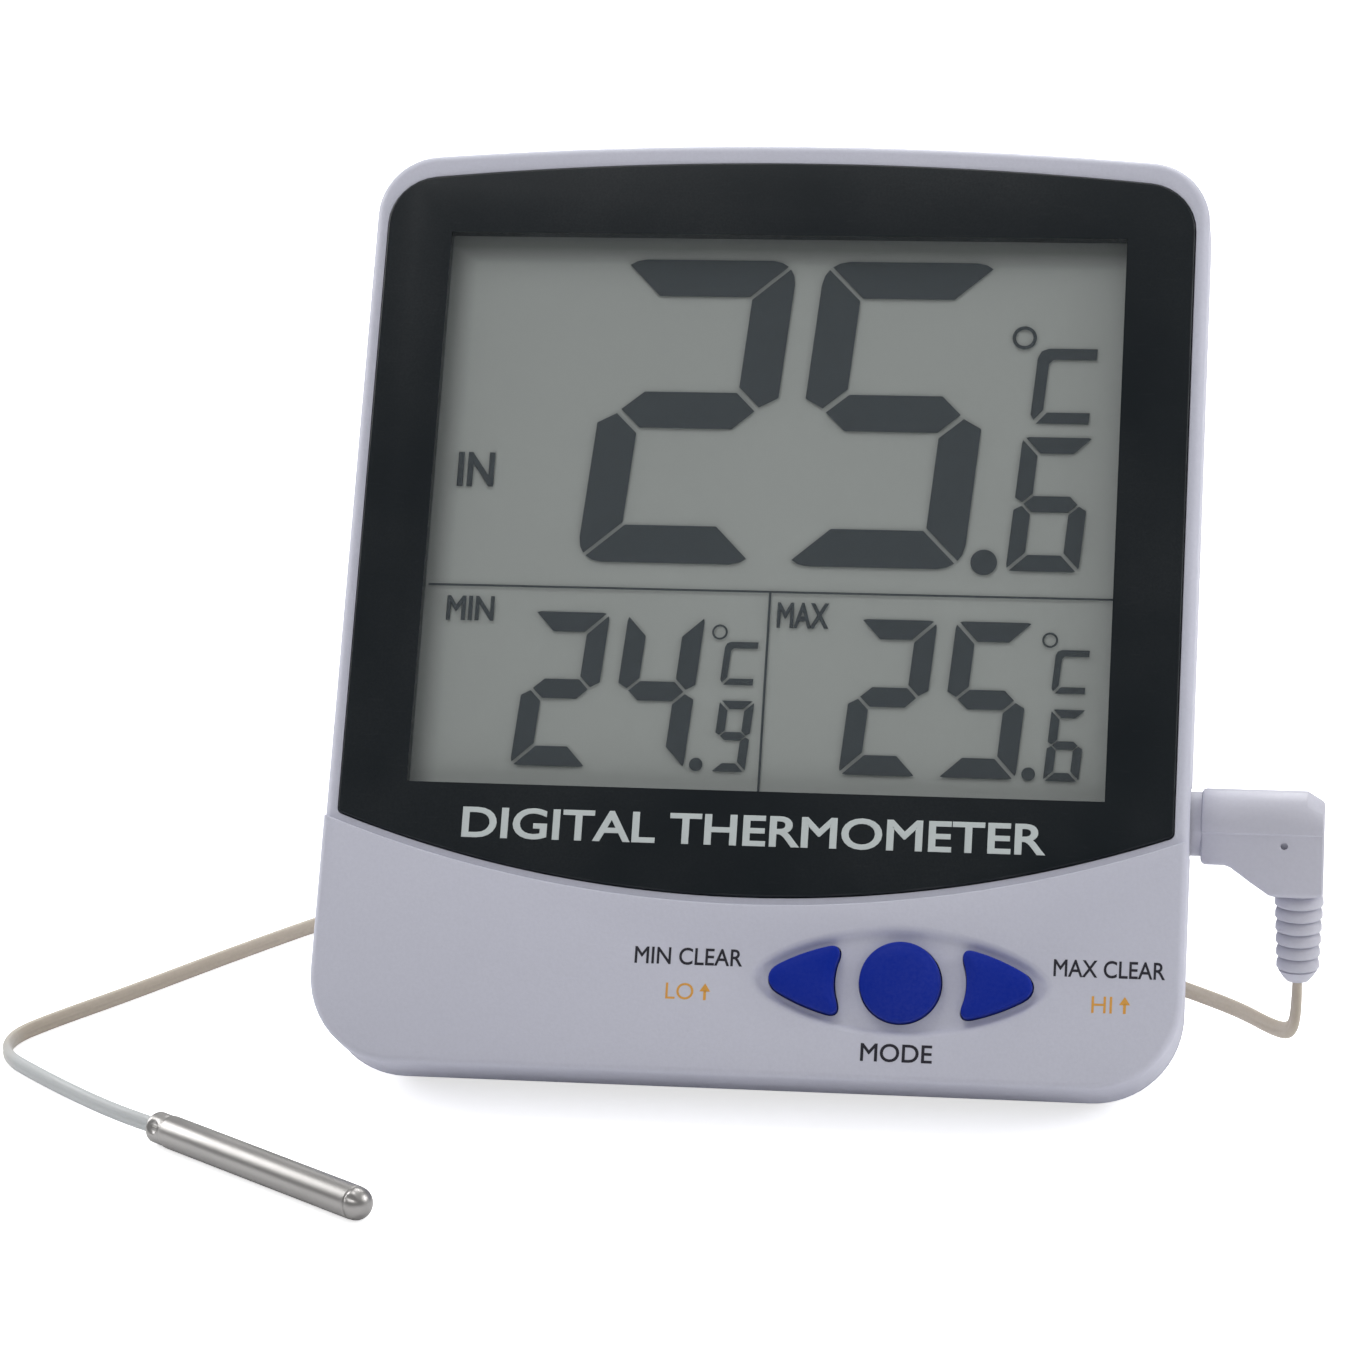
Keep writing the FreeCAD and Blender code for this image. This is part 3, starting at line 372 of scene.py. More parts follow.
class Tree:
    """Adds nodes to one node tree and joins them."""

    def __init__(self, tree):
        self.tree = tree

    def add(self, kind, settings=None, **values):
        node = self.tree.nodes.new(kind)
        for key, value in (settings or {}).items():
            setattr(node, key, value)
        for socket, value in values.items():
            self.feed(node, socket.replace("_", " "), value)
        return node

    def feed(self, node, socket, value):
        """Join value to a socket if it is an output, or set it if it is a number or colour."""
        entry = node.inputs[socket]
        if isinstance(value, bpy.types.NodeSocket):
            self.tree.links.new(value, entry)
        elif hasattr(value, "__len__") and len(value) == 3 and entry.type == "RGBA":
            entry.default_value = (*value, 1)
        else:
            entry.default_value = value

    def noise(self, place, scale, detail=2.0, roughness=0.5):
        node = self.add(
            "ShaderNodeTexNoise", Vector=place, Scale=scale, Detail=detail, Roughness=roughness
        )
        return node.outputs["Fac"]

    def span(self, value, from_low, from_high, low, high):
        node = self.add("ShaderNodeMapRange", Value=value)
        self.feed(node, "From Min", from_low)
        self.feed(node, "From Max", from_high)
        self.feed(node, "To Min", low)
        self.feed(node, "To Max", high)
        return node.outputs["Result"]

    def mix(self, factor, first, second):
        node = self.add("ShaderNodeMix", {"data_type": "RGBA"})
        self.link_or_set(node.inputs[0], factor)
        self.link_or_set(node.inputs[6], first)
        self.link_or_set(node.inputs[7], second)
        return node.outputs[2]

    def link_or_set(self, entry, value):
        if isinstance(value, bpy.types.NodeSocket):
            self.tree.links.new(value, entry)
        elif hasattr(value, "__len__"):
            entry.default_value = (*tuple(value)[:3], 1)
        else:
            entry.default_value = value

    def maths(self, operation, first, second=0.5):
        node = self.add("ShaderNodeMath", {"operation": operation})
        self.link_or_set(node.inputs[0], first)
        self.link_or_set(node.inputs[1], second)
        return node.outputs[0]


def effect(name, inputs, outputs, build):
    """A shared shader group: inputs and outputs are (name, socket type, default)."""
    found = bpy.data.node_groups.get(name)
    if found:
        return found
    group = bpy.data.node_groups.new(name, "ShaderNodeTree")
    for label, kind, default in inputs:
        socket = group.interface.new_socket(label, in_out="INPUT", socket_type=kind)
        socket.default_value = default
    for label, kind in outputs:
        group.interface.new_socket(label, in_out="OUTPUT", socket_type=kind)
    tree = Tree(group)
    entry = tree.add("NodeGroupInput")
    leave = tree.add("NodeGroupOutput")
    for label, value in build(tree, entry.outputs).items():
        group.links.new(value, leave.inputs[label])
    return group


NUMBER = "NodeSocketFloat"
COLOUR = "NodeSocketColor"
GREY = (0.5, 0.5, 0.5, 1)


def moulded_grain():
    """Fine spark-eroded grain with a faint drift of tone, as on moulded plastic."""

    def build(tree, given):
        place = tree.add("ShaderNodeTexCoord").outputs["Object"]
        fine = tree.noise(place, given["Grain"], 3.0, 0.6)
        coarse = tree.noise(place, tree.maths("MULTIPLY", given["Grain"], 0.28), 2.0)
        drift = tree.noise(place, 38.0, 3.0)
        light = tree.mix(0.5, given["Colour"], (1, 1, 1))
        dark = tree.mix(given["Drift"], given["Colour"], (0.02, 0.02, 0.03))
        tone = tree.span(drift, 0.3, 0.7, 0.0, given["Drift"])
        toned = tree.mix(tone, given["Colour"], light)
        speck = tree.span(fine, 0.35, 0.75, 0.0, 0.6)
        height = tree.maths("ADD", fine, tree.maths("MULTIPLY", coarse, 0.7))
        return {
            "Colour": tree.mix(speck, toned, dark),
            "Roughness": tree.span(coarse, 0.3, 0.7, given["Smooth"], given["Rough"]),
            "Height": height,
        }

    return effect(
        "Moulded grain",
        [
            ("Colour", COLOUR, GREY),
            ("Grain", NUMBER, 2500.0),
            ("Drift", NUMBER, 0.08),
            ("Smooth", NUMBER, 0.4),
            ("Rough", NUMBER, 0.55),
        ],
        [("Colour", COLOUR), ("Roughness", NUMBER), ("Height", NUMBER)],
        build,
    )


def handling_marks():
    """Hairline scuffs and settled dust that break up a smooth finish."""

    def build(tree, given):
        place = tree.add("ShaderNodeTexCoord").outputs["Object"]
        turned = tree.add("ShaderNodeMapping", Vector=place)
        turned.inputs["Rotation"].default_value = (0.4, 0.2, 0.7)
        turned.inputs["Scale"].default_value = (1.0, 14.0, 3.0)
        scratch = tree.noise(turned.outputs["Vector"], 420.0, 2.0, 0.4)
        hair = tree.span(scratch, 0.66, 0.72, 0.0, 1.0)
        dust = tree.span(tree.noise(place, 5200.0, 1.0), 0.70, 0.78, 0.0, 1.0)
        marks = tree.maths("MULTIPLY", tree.maths("ADD", hair, dust), given["Amount"])
        return {
            "Colour": tree.mix(marks, given["Colour"], given["Dust"]),
            "Roughness": tree.maths("ADD", given["Roughness"], tree.maths("MULTIPLY", marks, 0.35)),
            "Marks": marks,
        }

    return effect(
        "Handling marks",
        [
            ("Colour", COLOUR, GREY),
            ("Dust", COLOUR, (0.6, 0.6, 0.6, 1)),
            ("Roughness", NUMBER, 0.3),
            ("Amount", NUMBER, 0.1),
        ],
        [("Colour", COLOUR), ("Roughness", NUMBER), ("Marks", NUMBER)],
        build,
    )


def drawn_metal():
    """Fine lines left by drawing or polishing, along the piece's own length."""

    def build(tree, given):
        place = tree.add("ShaderNodeTexCoord").outputs["Object"]
        spun = tree.add("ShaderNodeMapping", Vector=place)
        tree.feed(spun, "Rotation", given["Turn"])
        spun.inputs["Scale"].default_value = (0.06, 1.0, 1.0)
        lines = tree.noise(spun.outputs["Vector"], 5200.0, 3.0, 0.6)
        cloud = tree.noise(place, 260.0, 3.0)
        dark = tree.mix(0.25, given["Colour"], (0.05, 0.05, 0.06))
        return {
            "Colour": tree.mix(tree.span(lines, 0.3, 0.75, 0.0, 0.10), given["Colour"], dark),
            "Roughness": tree.span(
                tree.maths("ADD", lines, cloud), 0.7, 1.3, given["Smooth"], given["Rough"]
            ),
            "Height": lines,
        }

    return effect(
        "Drawn metal",
        [
            ("Colour", COLOUR, GREY),
            ("Turn", "NodeSocketVector", (0.0, 0.0, 0.0)),
            ("Smooth", NUMBER, 0.2),
            ("Rough", NUMBER, 0.35),
        ],
        [("Colour", COLOUR), ("Roughness", NUMBER), ("Height", NUMBER)],
        build,
    )


def new_material(name):
    material = bpy.data.materials.new(name)
    material.use_nodes = True
    shader = material.node_tree.nodes["Principled BSDF"]
    return material, Tree(material.node_tree), shader


def bump(tree, shader, height, strength, distance):
    node = tree.add("ShaderNodeBump", Height=height, Strength=strength, Distance=distance)
    tree.feed(shader, "Normal", node.outputs["Normal"])


def parts_of(material):
    return Tree(material.node_tree), material.node_tree.nodes["Principled BSDF"]


def place_effect(tree, group, **values):
    node = tree.add("ShaderNodeGroup", {"node_tree": group})
    for socket, value in values.items():
        tree.feed(node, socket, value)
    return node.outputs


def plastic(name, colour, grain=2600.0, smooth=0.42, rough=0.56, drift=0.08, depth=0.00004, marks=0.05):
    """Moulded plastic or rubber: grain, then handling marks."""
    material, tree, shader = new_material(name)
    skin = place_effect(
        tree, moulded_grain(), Colour=tuple(colour), Grain=grain, Drift=drift, Smooth=smooth, Rough=rough
    )
    worn = place_effect(
        tree, handling_marks(), Colour=skin["Colour"], Roughness=skin["Roughness"], Amount=marks
    )
    tree.feed(shader, "Base Color", worn["Colour"])
    tree.feed(shader, "Roughness", worn["Roughness"])
    bump(tree, shader, skin["Height"], 0.35, depth)
    return material


def metal(name, colour, smooth=0.2, rough=0.35, turn=(0.0, 0.0, 0.0)):
    """Bare metal with drawing lines."""
    material, tree, shader = new_material(name)
    skin = place_effect(
        tree, drawn_metal(), Colour=tuple(colour), Smooth=smooth, Rough=rough, Turn=turn
    )
    tree.feed(shader, "Base Color", skin["Colour"])
    tree.feed(shader, "Roughness", skin["Roughness"])
    shader.inputs["Metallic"].default_value = 1.0
    bump(tree, shader, skin["Height"], 0.04, 0.000004)
    return material


def window_border(colour):
    """Black print behind the window: a very dark, fine-grained ground with a low sheen."""
    material = plastic(
        "window border", colour, grain=4200.0, smooth=0.30, rough=0.36, drift=0.03, depth=0.000005,
        marks=0.004,
    )
    shader = parts_of(material)[1]
    shader.inputs["Specular IOR Level"].default_value = 0.22
    return material


def window_clear():
    """The clear middle of the window."""
    material, tree, shader = new_material("window clear")
    worn = place_effect(
        tree, handling_marks(), Colour=(0.16, 0.18, 0.18), Roughness=0.06, Amount=0.03
    )
    tree.feed(shader, "Base Color", worn["Colour"])
    tree.feed(shader, "Roughness", worn["Roughness"])
    shader.inputs["Alpha"].default_value = 0.06
    shader.inputs["Specular IOR Level"].default_value = 0.5
    return material


# painted shade: darker bands along the film's top and left edges stand in for the shadow the window's rim
# casts on it: width in metres, and strength
SHADE_BAND_WIDE = 0.0030
TOP_SHADE = 0.55
LEFT_SHADE = 0.45


def display_film(colour):
    """The grey-green film behind the display glass: fine grain, and painted shade along its top and left
    edges for the shadow of the window's rim.
    """
    material, tree, shader = new_material("display film")
    place = tree.add("ShaderNodeTexCoord").outputs["Object"]
    grain = tree.noise(place, 3800.0, 3.0, 0.7)
    cloud = tree.noise(place, 30.0, 2.0)
    dark = tuple(value * 0.80 for value in colour)
    base = tree.mix(tree.span(cloud, 0.3, 0.7, 0.0, 0.2), tuple(colour), dark)
    grained = tree.mix(tree.span(grain, 0.3, 0.7, 0.0, 0.22), base, dark)
    left, _, _, high = PANE
    height = tree.add("ShaderNodeVectorMath", {"operation": "DOT_PRODUCT"})
    tree.link_or_set(height.inputs[0], place)
    height.inputs[1].default_value = UP_FACE
    top = (FACE @ Vector((0, high, DISPLAY_LEVEL))).dot(UP_FACE)
    across = tree.add("ShaderNodeSeparateXYZ", Vector=place).outputs["X"]
    edge = left * MM
    # painted shadow: the film is darkened towards its top and left edges, a fixed stand-in for the shade of
    # the window's rim
    from_top = tree.span(height.outputs["Value"], top - SHADE_BAND_WIDE, top - 0.0008, 0.0, TOP_SHADE)
    from_left = tree.span(across, edge + SHADE_BAND_WIDE, edge + 0.0002, 0.0, LEFT_SHADE)
    shadow = tree.maths("MAXIMUM", from_top, from_left)
    shadow_colour = tuple(value * 0.12 for value in colour)
    tree.feed(shader, "Base Color", tree.mix(shadow, grained, shadow_colour))
    tree.feed(shader, "Roughness", tree.span(grain, 0.3, 0.7, 0.5, 0.62))
    return material


def lead_jacket(colour):
    """Twin-lead jacket, aged to cream, and whiter over the last stretch before the probe."""
    material = plastic(
        "lead jacket", colour, grain=1500.0, smooth=0.38, rough=0.5, drift=0.1, depth=0.00003, marks=0.05
    )
    tree, shader = parts_of(material)
    place = tree.add("ShaderNodeTexCoord").outputs["Object"]
    split = tree.add("ShaderNodeSeparateXYZ", Vector=place)
    # whiter towards the probe end of the lead, by position along Y
    whiter_stretch = tree.span(split.outputs["Y"], 0.002, -0.009, 0.0, 1.0)
    aged = shader.inputs["Base Color"].links[0].from_socket
    pale = tree.mix(0.12, shade(186, 191, 194), aged)
    tree.feed(shader, "Base Color", tree.mix(whiter_stretch, aged, pale))
    return material


def board_laminate():
    """Green circuit laminate with copper tracks under the mask."""
    material, tree, shader = new_material("board laminate")
    place = tree.add("ShaderNodeTexCoord").outputs["Object"]
    tracks = tree.add("ShaderNodeTexBrick", Vector=place, Scale=220.0)
    tracks.inputs["Mortar Size"].default_value = 0.04
    weave = tree.noise(place, 3000.0, 2.0)
    base = tree.mix(tree.span(weave, 0.3, 0.7, 0.0, 0.4), shade(22, 96, 52), shade(16, 72, 40))
    tree.feed(shader, "Base Color", tree.mix(tracks.outputs["Fac"], base, shade(54, 132, 74)))
    tree.feed(shader, "Roughness", tree.span(weave, 0.3, 0.7, 0.25, 0.4))
    bump(tree, shader, tracks.outputs["Fac"], 0.3, 0.00003)
    return material


def zebra_rubber():
    """Connector strip: thin conducting and insulating layers in turn along its length."""
    material, tree, shader = new_material("zebra rubber")
    place = tree.add("ShaderNodeTexCoord").outputs["Object"]
    bands = tree.add("ShaderNodeTexWave", Vector=place, Scale=900.0)
    colour = tree.mix(bands.outputs["Fac"], shade(30, 30, 32), shade(196, 186, 178))
    tree.feed(shader, "Base Color", colour)
    tree.feed(shader, "Roughness", tree.span(bands.outputs["Fac"], 0.0, 1.0, 0.5, 0.7))
    return material


def battery_sleeve():
    """Shrink sleeve in two plain bands, copper-brown near the plus end."""
    material, tree, shader = new_material("battery sleeve")
    place = tree.add("ShaderNodeTexCoord").outputs["Object"]
    split = tree.add("ShaderNodeSeparateXYZ", Vector=place)
    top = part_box("battery")[1].z
    band = tree.span(split.outputs["Z"], top - 0.014, top - 0.0135, 0.0, 1.0)
    dirt = tree.noise(place, 900.0, 3.0)
    base = tree.mix(band, shade(28, 28, 32), shade(168, 112, 62))
    tree.feed(shader, "Base Color", tree.mix(tree.span(dirt, 0.4, 0.8, 0.0, 0.2), base, shade(90, 88, 84)))
    tree.feed(shader, "Roughness", tree.span(dirt, 0.3, 0.7, 0.22, 0.34))
    return material


def printed_ink(name, colour):
    """Screen-printed ink: flat, with pinholes and a slightly uneven lay."""
    material, tree, shader = new_material(name)
    place = tree.add("ShaderNodeTexCoord").outputs["Object"]
    lay = tree.noise(place, 9000.0, 2.0)
    tint = tuple(min(1.0, value * 1.06 + 0.001) for value in colour)
    tree.feed(shader, "Base Color", tree.mix(tree.span(lay, 0.35, 0.75, 0.0, 0.5), tuple(colour), tint))
    tree.feed(shader, "Roughness", tree.span(lay, 0.3, 0.7, 0.48, 0.54))
    return material


def pale_floor():
    """A near-white floor that glows to the camera only, so that it doesn't light the case."""
    material, tree, shader = new_material("pale floor")
    place = tree.add("ShaderNodeTexCoord").outputs["Object"]
    cloud = tree.noise(place, 3.0, 2.0)
    tree.feed(
        shader, "Base Color", tree.mix(cloud, shade(246, 246, 247), shade(243, 243, 245))
    )
    shader.inputs["Roughness"].default_value = 0.9
    shader.inputs["Emission Color"].default_value = (1, 1, 1, 1)
    seen = tree.add("ShaderNodeLightPath").outputs["Is Camera Ray"]
    tree.feed(shader, "Emission Strength", tree.maths("MULTIPLY", seen, FLOOR_GLOW))
    return material


# ------------------------------------------------------- sizes of the pieces

# all in millimetres, in the face frame unless a name says otherwise
CASE_HALF = 50.0
CASE_SIDE = 110.7
CASE_BOW = 536.0
CASE_DEEP = 8.5
LOW_CORNER = 10.5
HIGH_CORNER = 7.5
APRON_RAISE = 0.6
APRON_GAP = 0.95
FACE_WALL = 2.0
WALL = 1.8
LENS_HALF = 48.35
LENS_LOW = 29.3
LENS_HIGH = 107.7
LENS_LOW_BOW = 141.5
LENS_HIGH_BOW = 437.0
LENS_CORNER = 6.0
LENS_PROUD = 0.4
LENS_THICK = 1.5
PANE = (-40.45, 40.45, 33.1, 101.2)
WINDOW = (-41.2, 41.2, 32.6, 101.9)
DISPLAY_LEVEL = -2.3
INK_LEVEL = -2.08
INK_THICK = 0.03
KEYS_X = 18.25
KEYS_Y = 11.4
KEY_GAP = 0.14
SOCKET_UP = 33.0
SOCKET_HOLE = 4.3
PLUG_AXIS = ((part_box("plug_sleeve")[0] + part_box("plug_sleeve")[1]) / 2 / MM).yz
RELIEF_X = (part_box("strain_relief")[0].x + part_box("strain_relief")[1].x) / 2 / MM
RELIEF_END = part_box("strain_relief")[0].z / MM
RELIEF_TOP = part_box("strain_relief")[1].z / MM


def case_outline(spacing=1.2):
    return outline(
        [
            (-CASE_HALF, 0, LOW_CORNER, 0),
            (CASE_HALF, 0, LOW_CORNER, 0),
            (CASE_HALF, CASE_SIDE, HIGH_CORNER, CASE_BOW),
            (-CASE_HALF, CASE_SIDE, HIGH_CORNER, 0),
        ],
        spacing,
        12,
    )


def lens_outline():
    return outline(
        [
            (-LENS_HALF, LENS_LOW, 0.7, LENS_LOW_BOW),
            (LENS_HALF, LENS_LOW, 0.7, 0),
            (LENS_HALF, LENS_HIGH, LENS_CORNER, LENS_HIGH_BOW),
            (-LENS_HALF, LENS_HIGH, LENS_CORNER, 0),
        ]
    )


def rectangle(left, right, low, high, corner=0.0):
    return outline(
        [(left, low, corner, 0), (right, low, corner, 0), (right, high, corner, 0), (left, high, corner, 0)],
        spacing=200,
    )


def leaf_outline(side):
    """A leaf key: blunt tip outside, hollow beside the round key."""
    inner = KEYS_X + 6.2 * side
    tip = KEYS_X + 16.3 * side
    low = KEYS_Y - 4.25
    high = KEYS_Y + 4.25
    if side < 0:
        corners = [(inner, low, 0.9, -7.35), (inner, high, 0.9, 23.0), (tip, KEYS_Y, 2.1, 23.0)]
    else:
        corners = [(inner, high, 0.9, -7.35), (inner, low, 0.9, 23.0), (tip, KEYS_Y, 2.1, 23.0)]
    return outline(corners, 0.5, 8)


KEYS = {
    "min": lambda: leaf_outline(-1),
    "mode": lambda: ring(KEYS_X, KEYS_Y, 4.62, 72),
    "max": lambda: leaf_outline(1),
}


def recess_ring(back, z):
    """One ring of the dish, always with the same count of points."""
    half = 17.3 - 1.35 * back
    rise = 6.5 - back
    points = []
    count = 96
    for step in range(count):
        angle = 2 * math.pi * step / count
        x = math.cos(angle)
        y = math.sin(angle)
        reach = (abs(x) ** 1.72 + abs(y) ** 1.72) ** (-1 / 1.72)
        points.append(Vector((KEYS_X + half * reach * x, KEYS_Y + rise * reach * y, z)))
    return points


# ------------------------------------------------------------------- pieces


# each lamp: name, place, what it faces, size in metres, power in watts
LAMPS = (
    ("key_light", (-0.35, -0.1, 1.2), (0, 0, 0.05), 0.5, 2.2),
    ("fill_light", (1.0, 0.05, 0.55), (0, 0, 0.05), 0.6, 3.8),
    ("back_light", (0.1, 0.85, 0.95), (0, 0, 0.05), 1.0, 9.0),
    ("left_light", (-0.9, 0.3, 0.45), (0, 0, 0.06), 0.6, 4.0),
)


class ThermometerStage(bpy.types.Operator):
    """Camera, pale floor, soft lights, and a sky that brightens upwards"""

    bl_idname = "thermometer.stage"
    bl_label = "Stage"

    def execute(self, context):
        self.camera()
        self.lights()
        self.floor()
        return {"FINISHED"}

    def camera(self):
        place = Vector((0.0669, -0.4848, 0.1767))
        forward = Vector((-0.14964, 0.95591, -0.25266)).normalized()
        right = Vector((0.98840, 0.15133, -0.01285)).normalized()
        up = right.cross(forward).normalized()
        right = forward.cross(up).normalized()
        data = bpy.data.cameras.new("camera")
        data.lens = 117.8
        data.sensor_width = 36.0
        data.clip_start = 0.01
        data.clip_end = 50.0
        camera = bpy.data.objects.new("camera", data)
        turn = Matrix((right, up, -forward)).transposed().to_4x4()
        camera.matrix_world = Matrix.Translation(place) @ turn
        bpy.context.scene.collection.objects.link(camera)
        bpy.context.scene.camera = camera

    def lights(self):
        for lamp in LAMPS:
            self.area(*lamp)
        world = bpy.data.worlds.new("studio")
        world.use_nodes = True
        tree = Tree(world.node_tree)
        sky = world.node_tree.nodes["Background"]
        sky.inputs["Color"].default_value = (1.0, 1.0, 1.0, 1)
        way = tree.add("ShaderNodeTexCoord").outputs["Generated"]
        height = tree.add("ShaderNodeSeparateXYZ", Vector=way).outputs["Z"]
        seen = tree.add("ShaderNodeLightPath").outputs["Is Camera Ray"]
        glow = tree.span(height, 0.1, 0.95, SKY_LOW, SKY_HIGH)
        tree.feed(sky, "Strength", tree.maths("MAXIMUM", glow, seen))
        bpy.context.scene.world = world
        bpy.context.scene.view_settings.view_transform = "Standard"

    def area(self, name, place, target, size, power):
        data = bpy.data.lights.new(name, "AREA")
        data.shape = "DISK"
        data.size = size
        data.energy = power
        lamp = bpy.data.objects.new(name, data)
        facing = (Vector(target) - Vector(place)).to_track_quat("-Z", "Y")
        lamp.matrix_world = Matrix.Translation(place) @ facing.to_matrix().to_4x4()
        bpy.context.scene.collection.objects.link(lamp)

    def floor(self):
        rings = [level(ring(0, 0, radius, 96), 0.0) for radius in (4000.0, 900.0)]
        verts = [point for points in rings for point in points]
        count = len(rings[0])
        faces = [
            (index, (index + 1) % count, count + (index + 1) % count, count + index)
            for index in range(count)
        ]
        faces.append(tuple(range(count, 2 * count)))
        floor = new_object("floor", verts, faces, place=Matrix.Translation((0, 0, -0.00002)) @ ROW)
        floor.data.materials.append(pale_floor())


# the lead's route, in millimetres in the row frame
NEAR_ROUTE = [
    (62.5, 5.86, 12.6),
    (62.5, 6.1, 8.4),
    (61.9, 8.7, 5.2),
    (59.9, 14.6, 3.4),
    (55.6, 24.2, 2.3),
    (49.4, 32.8, 1.5),
    (42.5, 40.6, 1.1),
    (35.0, 50.4, 1.1),
    (28.6, 61.4, 1.1),
    (22.8, 70.6, 1.1),
    (19.2, 79.0, 1.2),
]
FAR_ROUTE = [
    (-10.5, 95.6, 6.6),
    (-19.4, 90.9, 3.9),
    (-31.0, 84.0, 1.6),
    (-42.8, 75.6, 1.1),
    (-54.0, 63.6, 1.1),
    (-64.3, 47.9, 1.1),
    (-73.0, 32.8, 1.1),
    (-81.2, 17.6, 1.1),
    (-87.2, 7.6, 1.1),
    (-90.6, 0.6, 1.1),
    (-89.4, -5.8, 1.1),
    (-84.0, -11.4, 1.1),
    (-76.6, -18.4, 1.15),
    (-70.2, -24.4, 1.5),
    (-64.3, -29.2, 1.9),
    (-62.7, -30.4, 1.9),
]
COIL_CENTRE = (4.0, 86.0)
CORE_SHARE = 0.52
COIL_ROWS = [(2, 0, -2), (-3, -1, 1, 3), (4, 2, 0, -2, -4), (-3, -1, 1, 3)]
COIL_LOW = 1.42
COIL_RISE = 1.74
COIL_LAST = 120.0
PER_TURN = 16


def coil_points(radius):
    """The wound turns as more points of the lead: row on row, a width apart."""
    places = []
    for row, offsets in enumerate(COIL_ROWS):
        places += [(offset, COIL_LOW + COIL_RISE * row) for offset in offsets]
    steps = round(len(places) * PER_TURN + COIL_LAST / 360 * PER_TURN)
    grow = 2 / (1 + math.cos(math.pi / PER_TURN))
    points = []
    for step in range(steps + 1):
        turn = step / PER_TURN
        here = min(int(turn), len(places) - 1)
        after = min(here + 1, len(places) - 1)
        ease = max(0.0, min(1.0, (turn - here - 0.7) / 0.3))
        ease = ease * ease * (3 - 2 * ease)
        offset = places[here][0] * (1 - ease) + places[after][0] * ease
        height = places[here][1] * (1 - ease) + places[after][1] * ease
        angle = 2 * math.pi * turn
        reach = (radius + offset) * grow
        points.append(
            (
                COIL_CENTRE[0] + reach * math.cos(angle),
                COIL_CENTRE[1] + reach * math.sin(angle),
                height,
            )
        )
    return points


class ThermometerLead(bpy.types.Operator):
    """The twin lead from the plug through its put-away coil to the probe, and its tie"""

    bl_idname = "thermometer.lead"
    bl_label = "Lead"

    def execute(self, context):
        sizes = context.scene.thermometer_sizes
        colours = context.scene.thermometer_colours
        route = NEAR_ROUTE + coil_points(sizes.coil_radius / MM) + FAR_ROUTE
        data = bpy.data.curves.new("probe_lead", "CURVE")
        data.dimensions = "3D"
        spline = data.splines.new("NURBS")
        spline.points.add(len(route) - 1)
        for point, place in zip(spline.points, route):
            point.co = (*(value * MM for value in place), 1)
        spline.order_u = 3
        spline.use_endpoint_u = True
        spline.resolution_u = 6
        data.twist_mode = "Z_UP"
        data.bevel_mode = "OBJECT"
        data.bevel_object = self.profile(sizes.cable_diameter)
        data.use_fill_caps = True
        lead = bpy.data.objects.new("probe_lead", data)
        bpy.context.scene.collection.objects.link(lead)
        path = self.centreline(lead)
        self.to_mesh(lead)
        finish_piece(
            bpy.data.objects["probe_lead"], "lead", "cable_cream", lead_jacket(colours.lead),
            "cable_to_coil", "cable_coil", "cable_to_probe",
        )
        context.scene["lead_path"] = [value for point in path for value in point]
        self.tie()
        return {"FINISHED"}

    def profile(self, width):
        """Two round cores side by side: tall along Y, pinched at the web between them."""
        data = bpy.data.curves.new("lead_profile", "CURVE")
        data.dimensions = "2D"
        half = width / 2
        core = half * CORE_SHARE
        spline = data.splines.new("POLY")
        points = []
        count = 40
        for step in range(count):
            angle = 2 * math.pi * step / count
            pinch = 1 - 0.30 * math.exp(-((math.sin(angle) / 0.22) ** 2))
            points.append((core * math.cos(angle) * 1.18 * pinch, half * math.sin(angle)))
        spline.points.add(len(points) - 1)
        for point, (x, y) in zip(spline.points, points):
            point.co = (x, y, 0, 1)
        spline.use_cyclic_u = True
        profile = bpy.data.objects.new("lead_profile", data)
        bpy.context.scene.collection.objects.link(profile)
        return profile

    def centreline(self, lead):
        """The route's own smooth line, read from the spline with no bevel."""
        bare = lead.data.copy()
        bare.bevel_object = None
        bare.use_fill_caps = False
        holder = bpy.data.objects.new("centreline", bare)
        bpy.context.scene.collection.objects.link(holder)
        bpy.context.view_layer.update()
        graph = bpy.context.evaluated_depsgraph_get()
        mesh = bpy.data.meshes.new_from_object(holder.evaluated_get(graph))
        points = [tuple(vertex.co) for vertex in mesh.vertices]
        bpy.data.objects.remove(holder)
        return points

    def to_mesh(self, lead):
        profile = lead.data.bevel_object
        bpy.context.view_layer.update()
        graph = bpy.context.evaluated_depsgraph_get()
        mesh = bpy.data.meshes.new_from_object(lead.evaluated_get(graph))
        bpy.data.objects.remove(lead)
        bpy.data.objects.remove(profile)
        mesh.shade_smooth()
        piece = bpy.data.objects.new("probe_lead", mesh)
        bpy.context.scene.collection.objects.link(piece)

    def tie(self):
        """A flat paper-covered tie hugging the coil's front."""
        rings = []
        middle = (COIL_LOW + COIL_RISE * (len(COIL_ROWS) - 1) / 2)
        across = COIL_CENTRE[1] - 12.0
        for grow in ((5.25, 3.75), (5.6, 4.0)):
            for side in (-1.8, 1.8) if grow[0] < 5.5 else (1.8, -1.8):
                points = []
                for step in range(48):
                    angle = 2 * math.pi * step / 48
                    x = math.cos(angle)
                    y = math.sin(angle)
                    reach = (abs(x) ** 2.6 + abs(y) ** 2.6) ** (-1 / 2.6)
                    points.append(
                        Vector((COIL_CENTRE[0] + side, across + grow[0] * x * reach,
                                middle + grow[1] * y * reach))
                    )
                rings.append(points)
        tie = new_object("lead_tie", *loft(rings, closed=True), place=ROW)
        finish_piece(
            tie, "lead", "tie_plastic",
            plastic("tie paper", shade(236, 236, 234), grain=1800.0, smooth=0.6, rough=0.75),
            "cable_tie",
        )


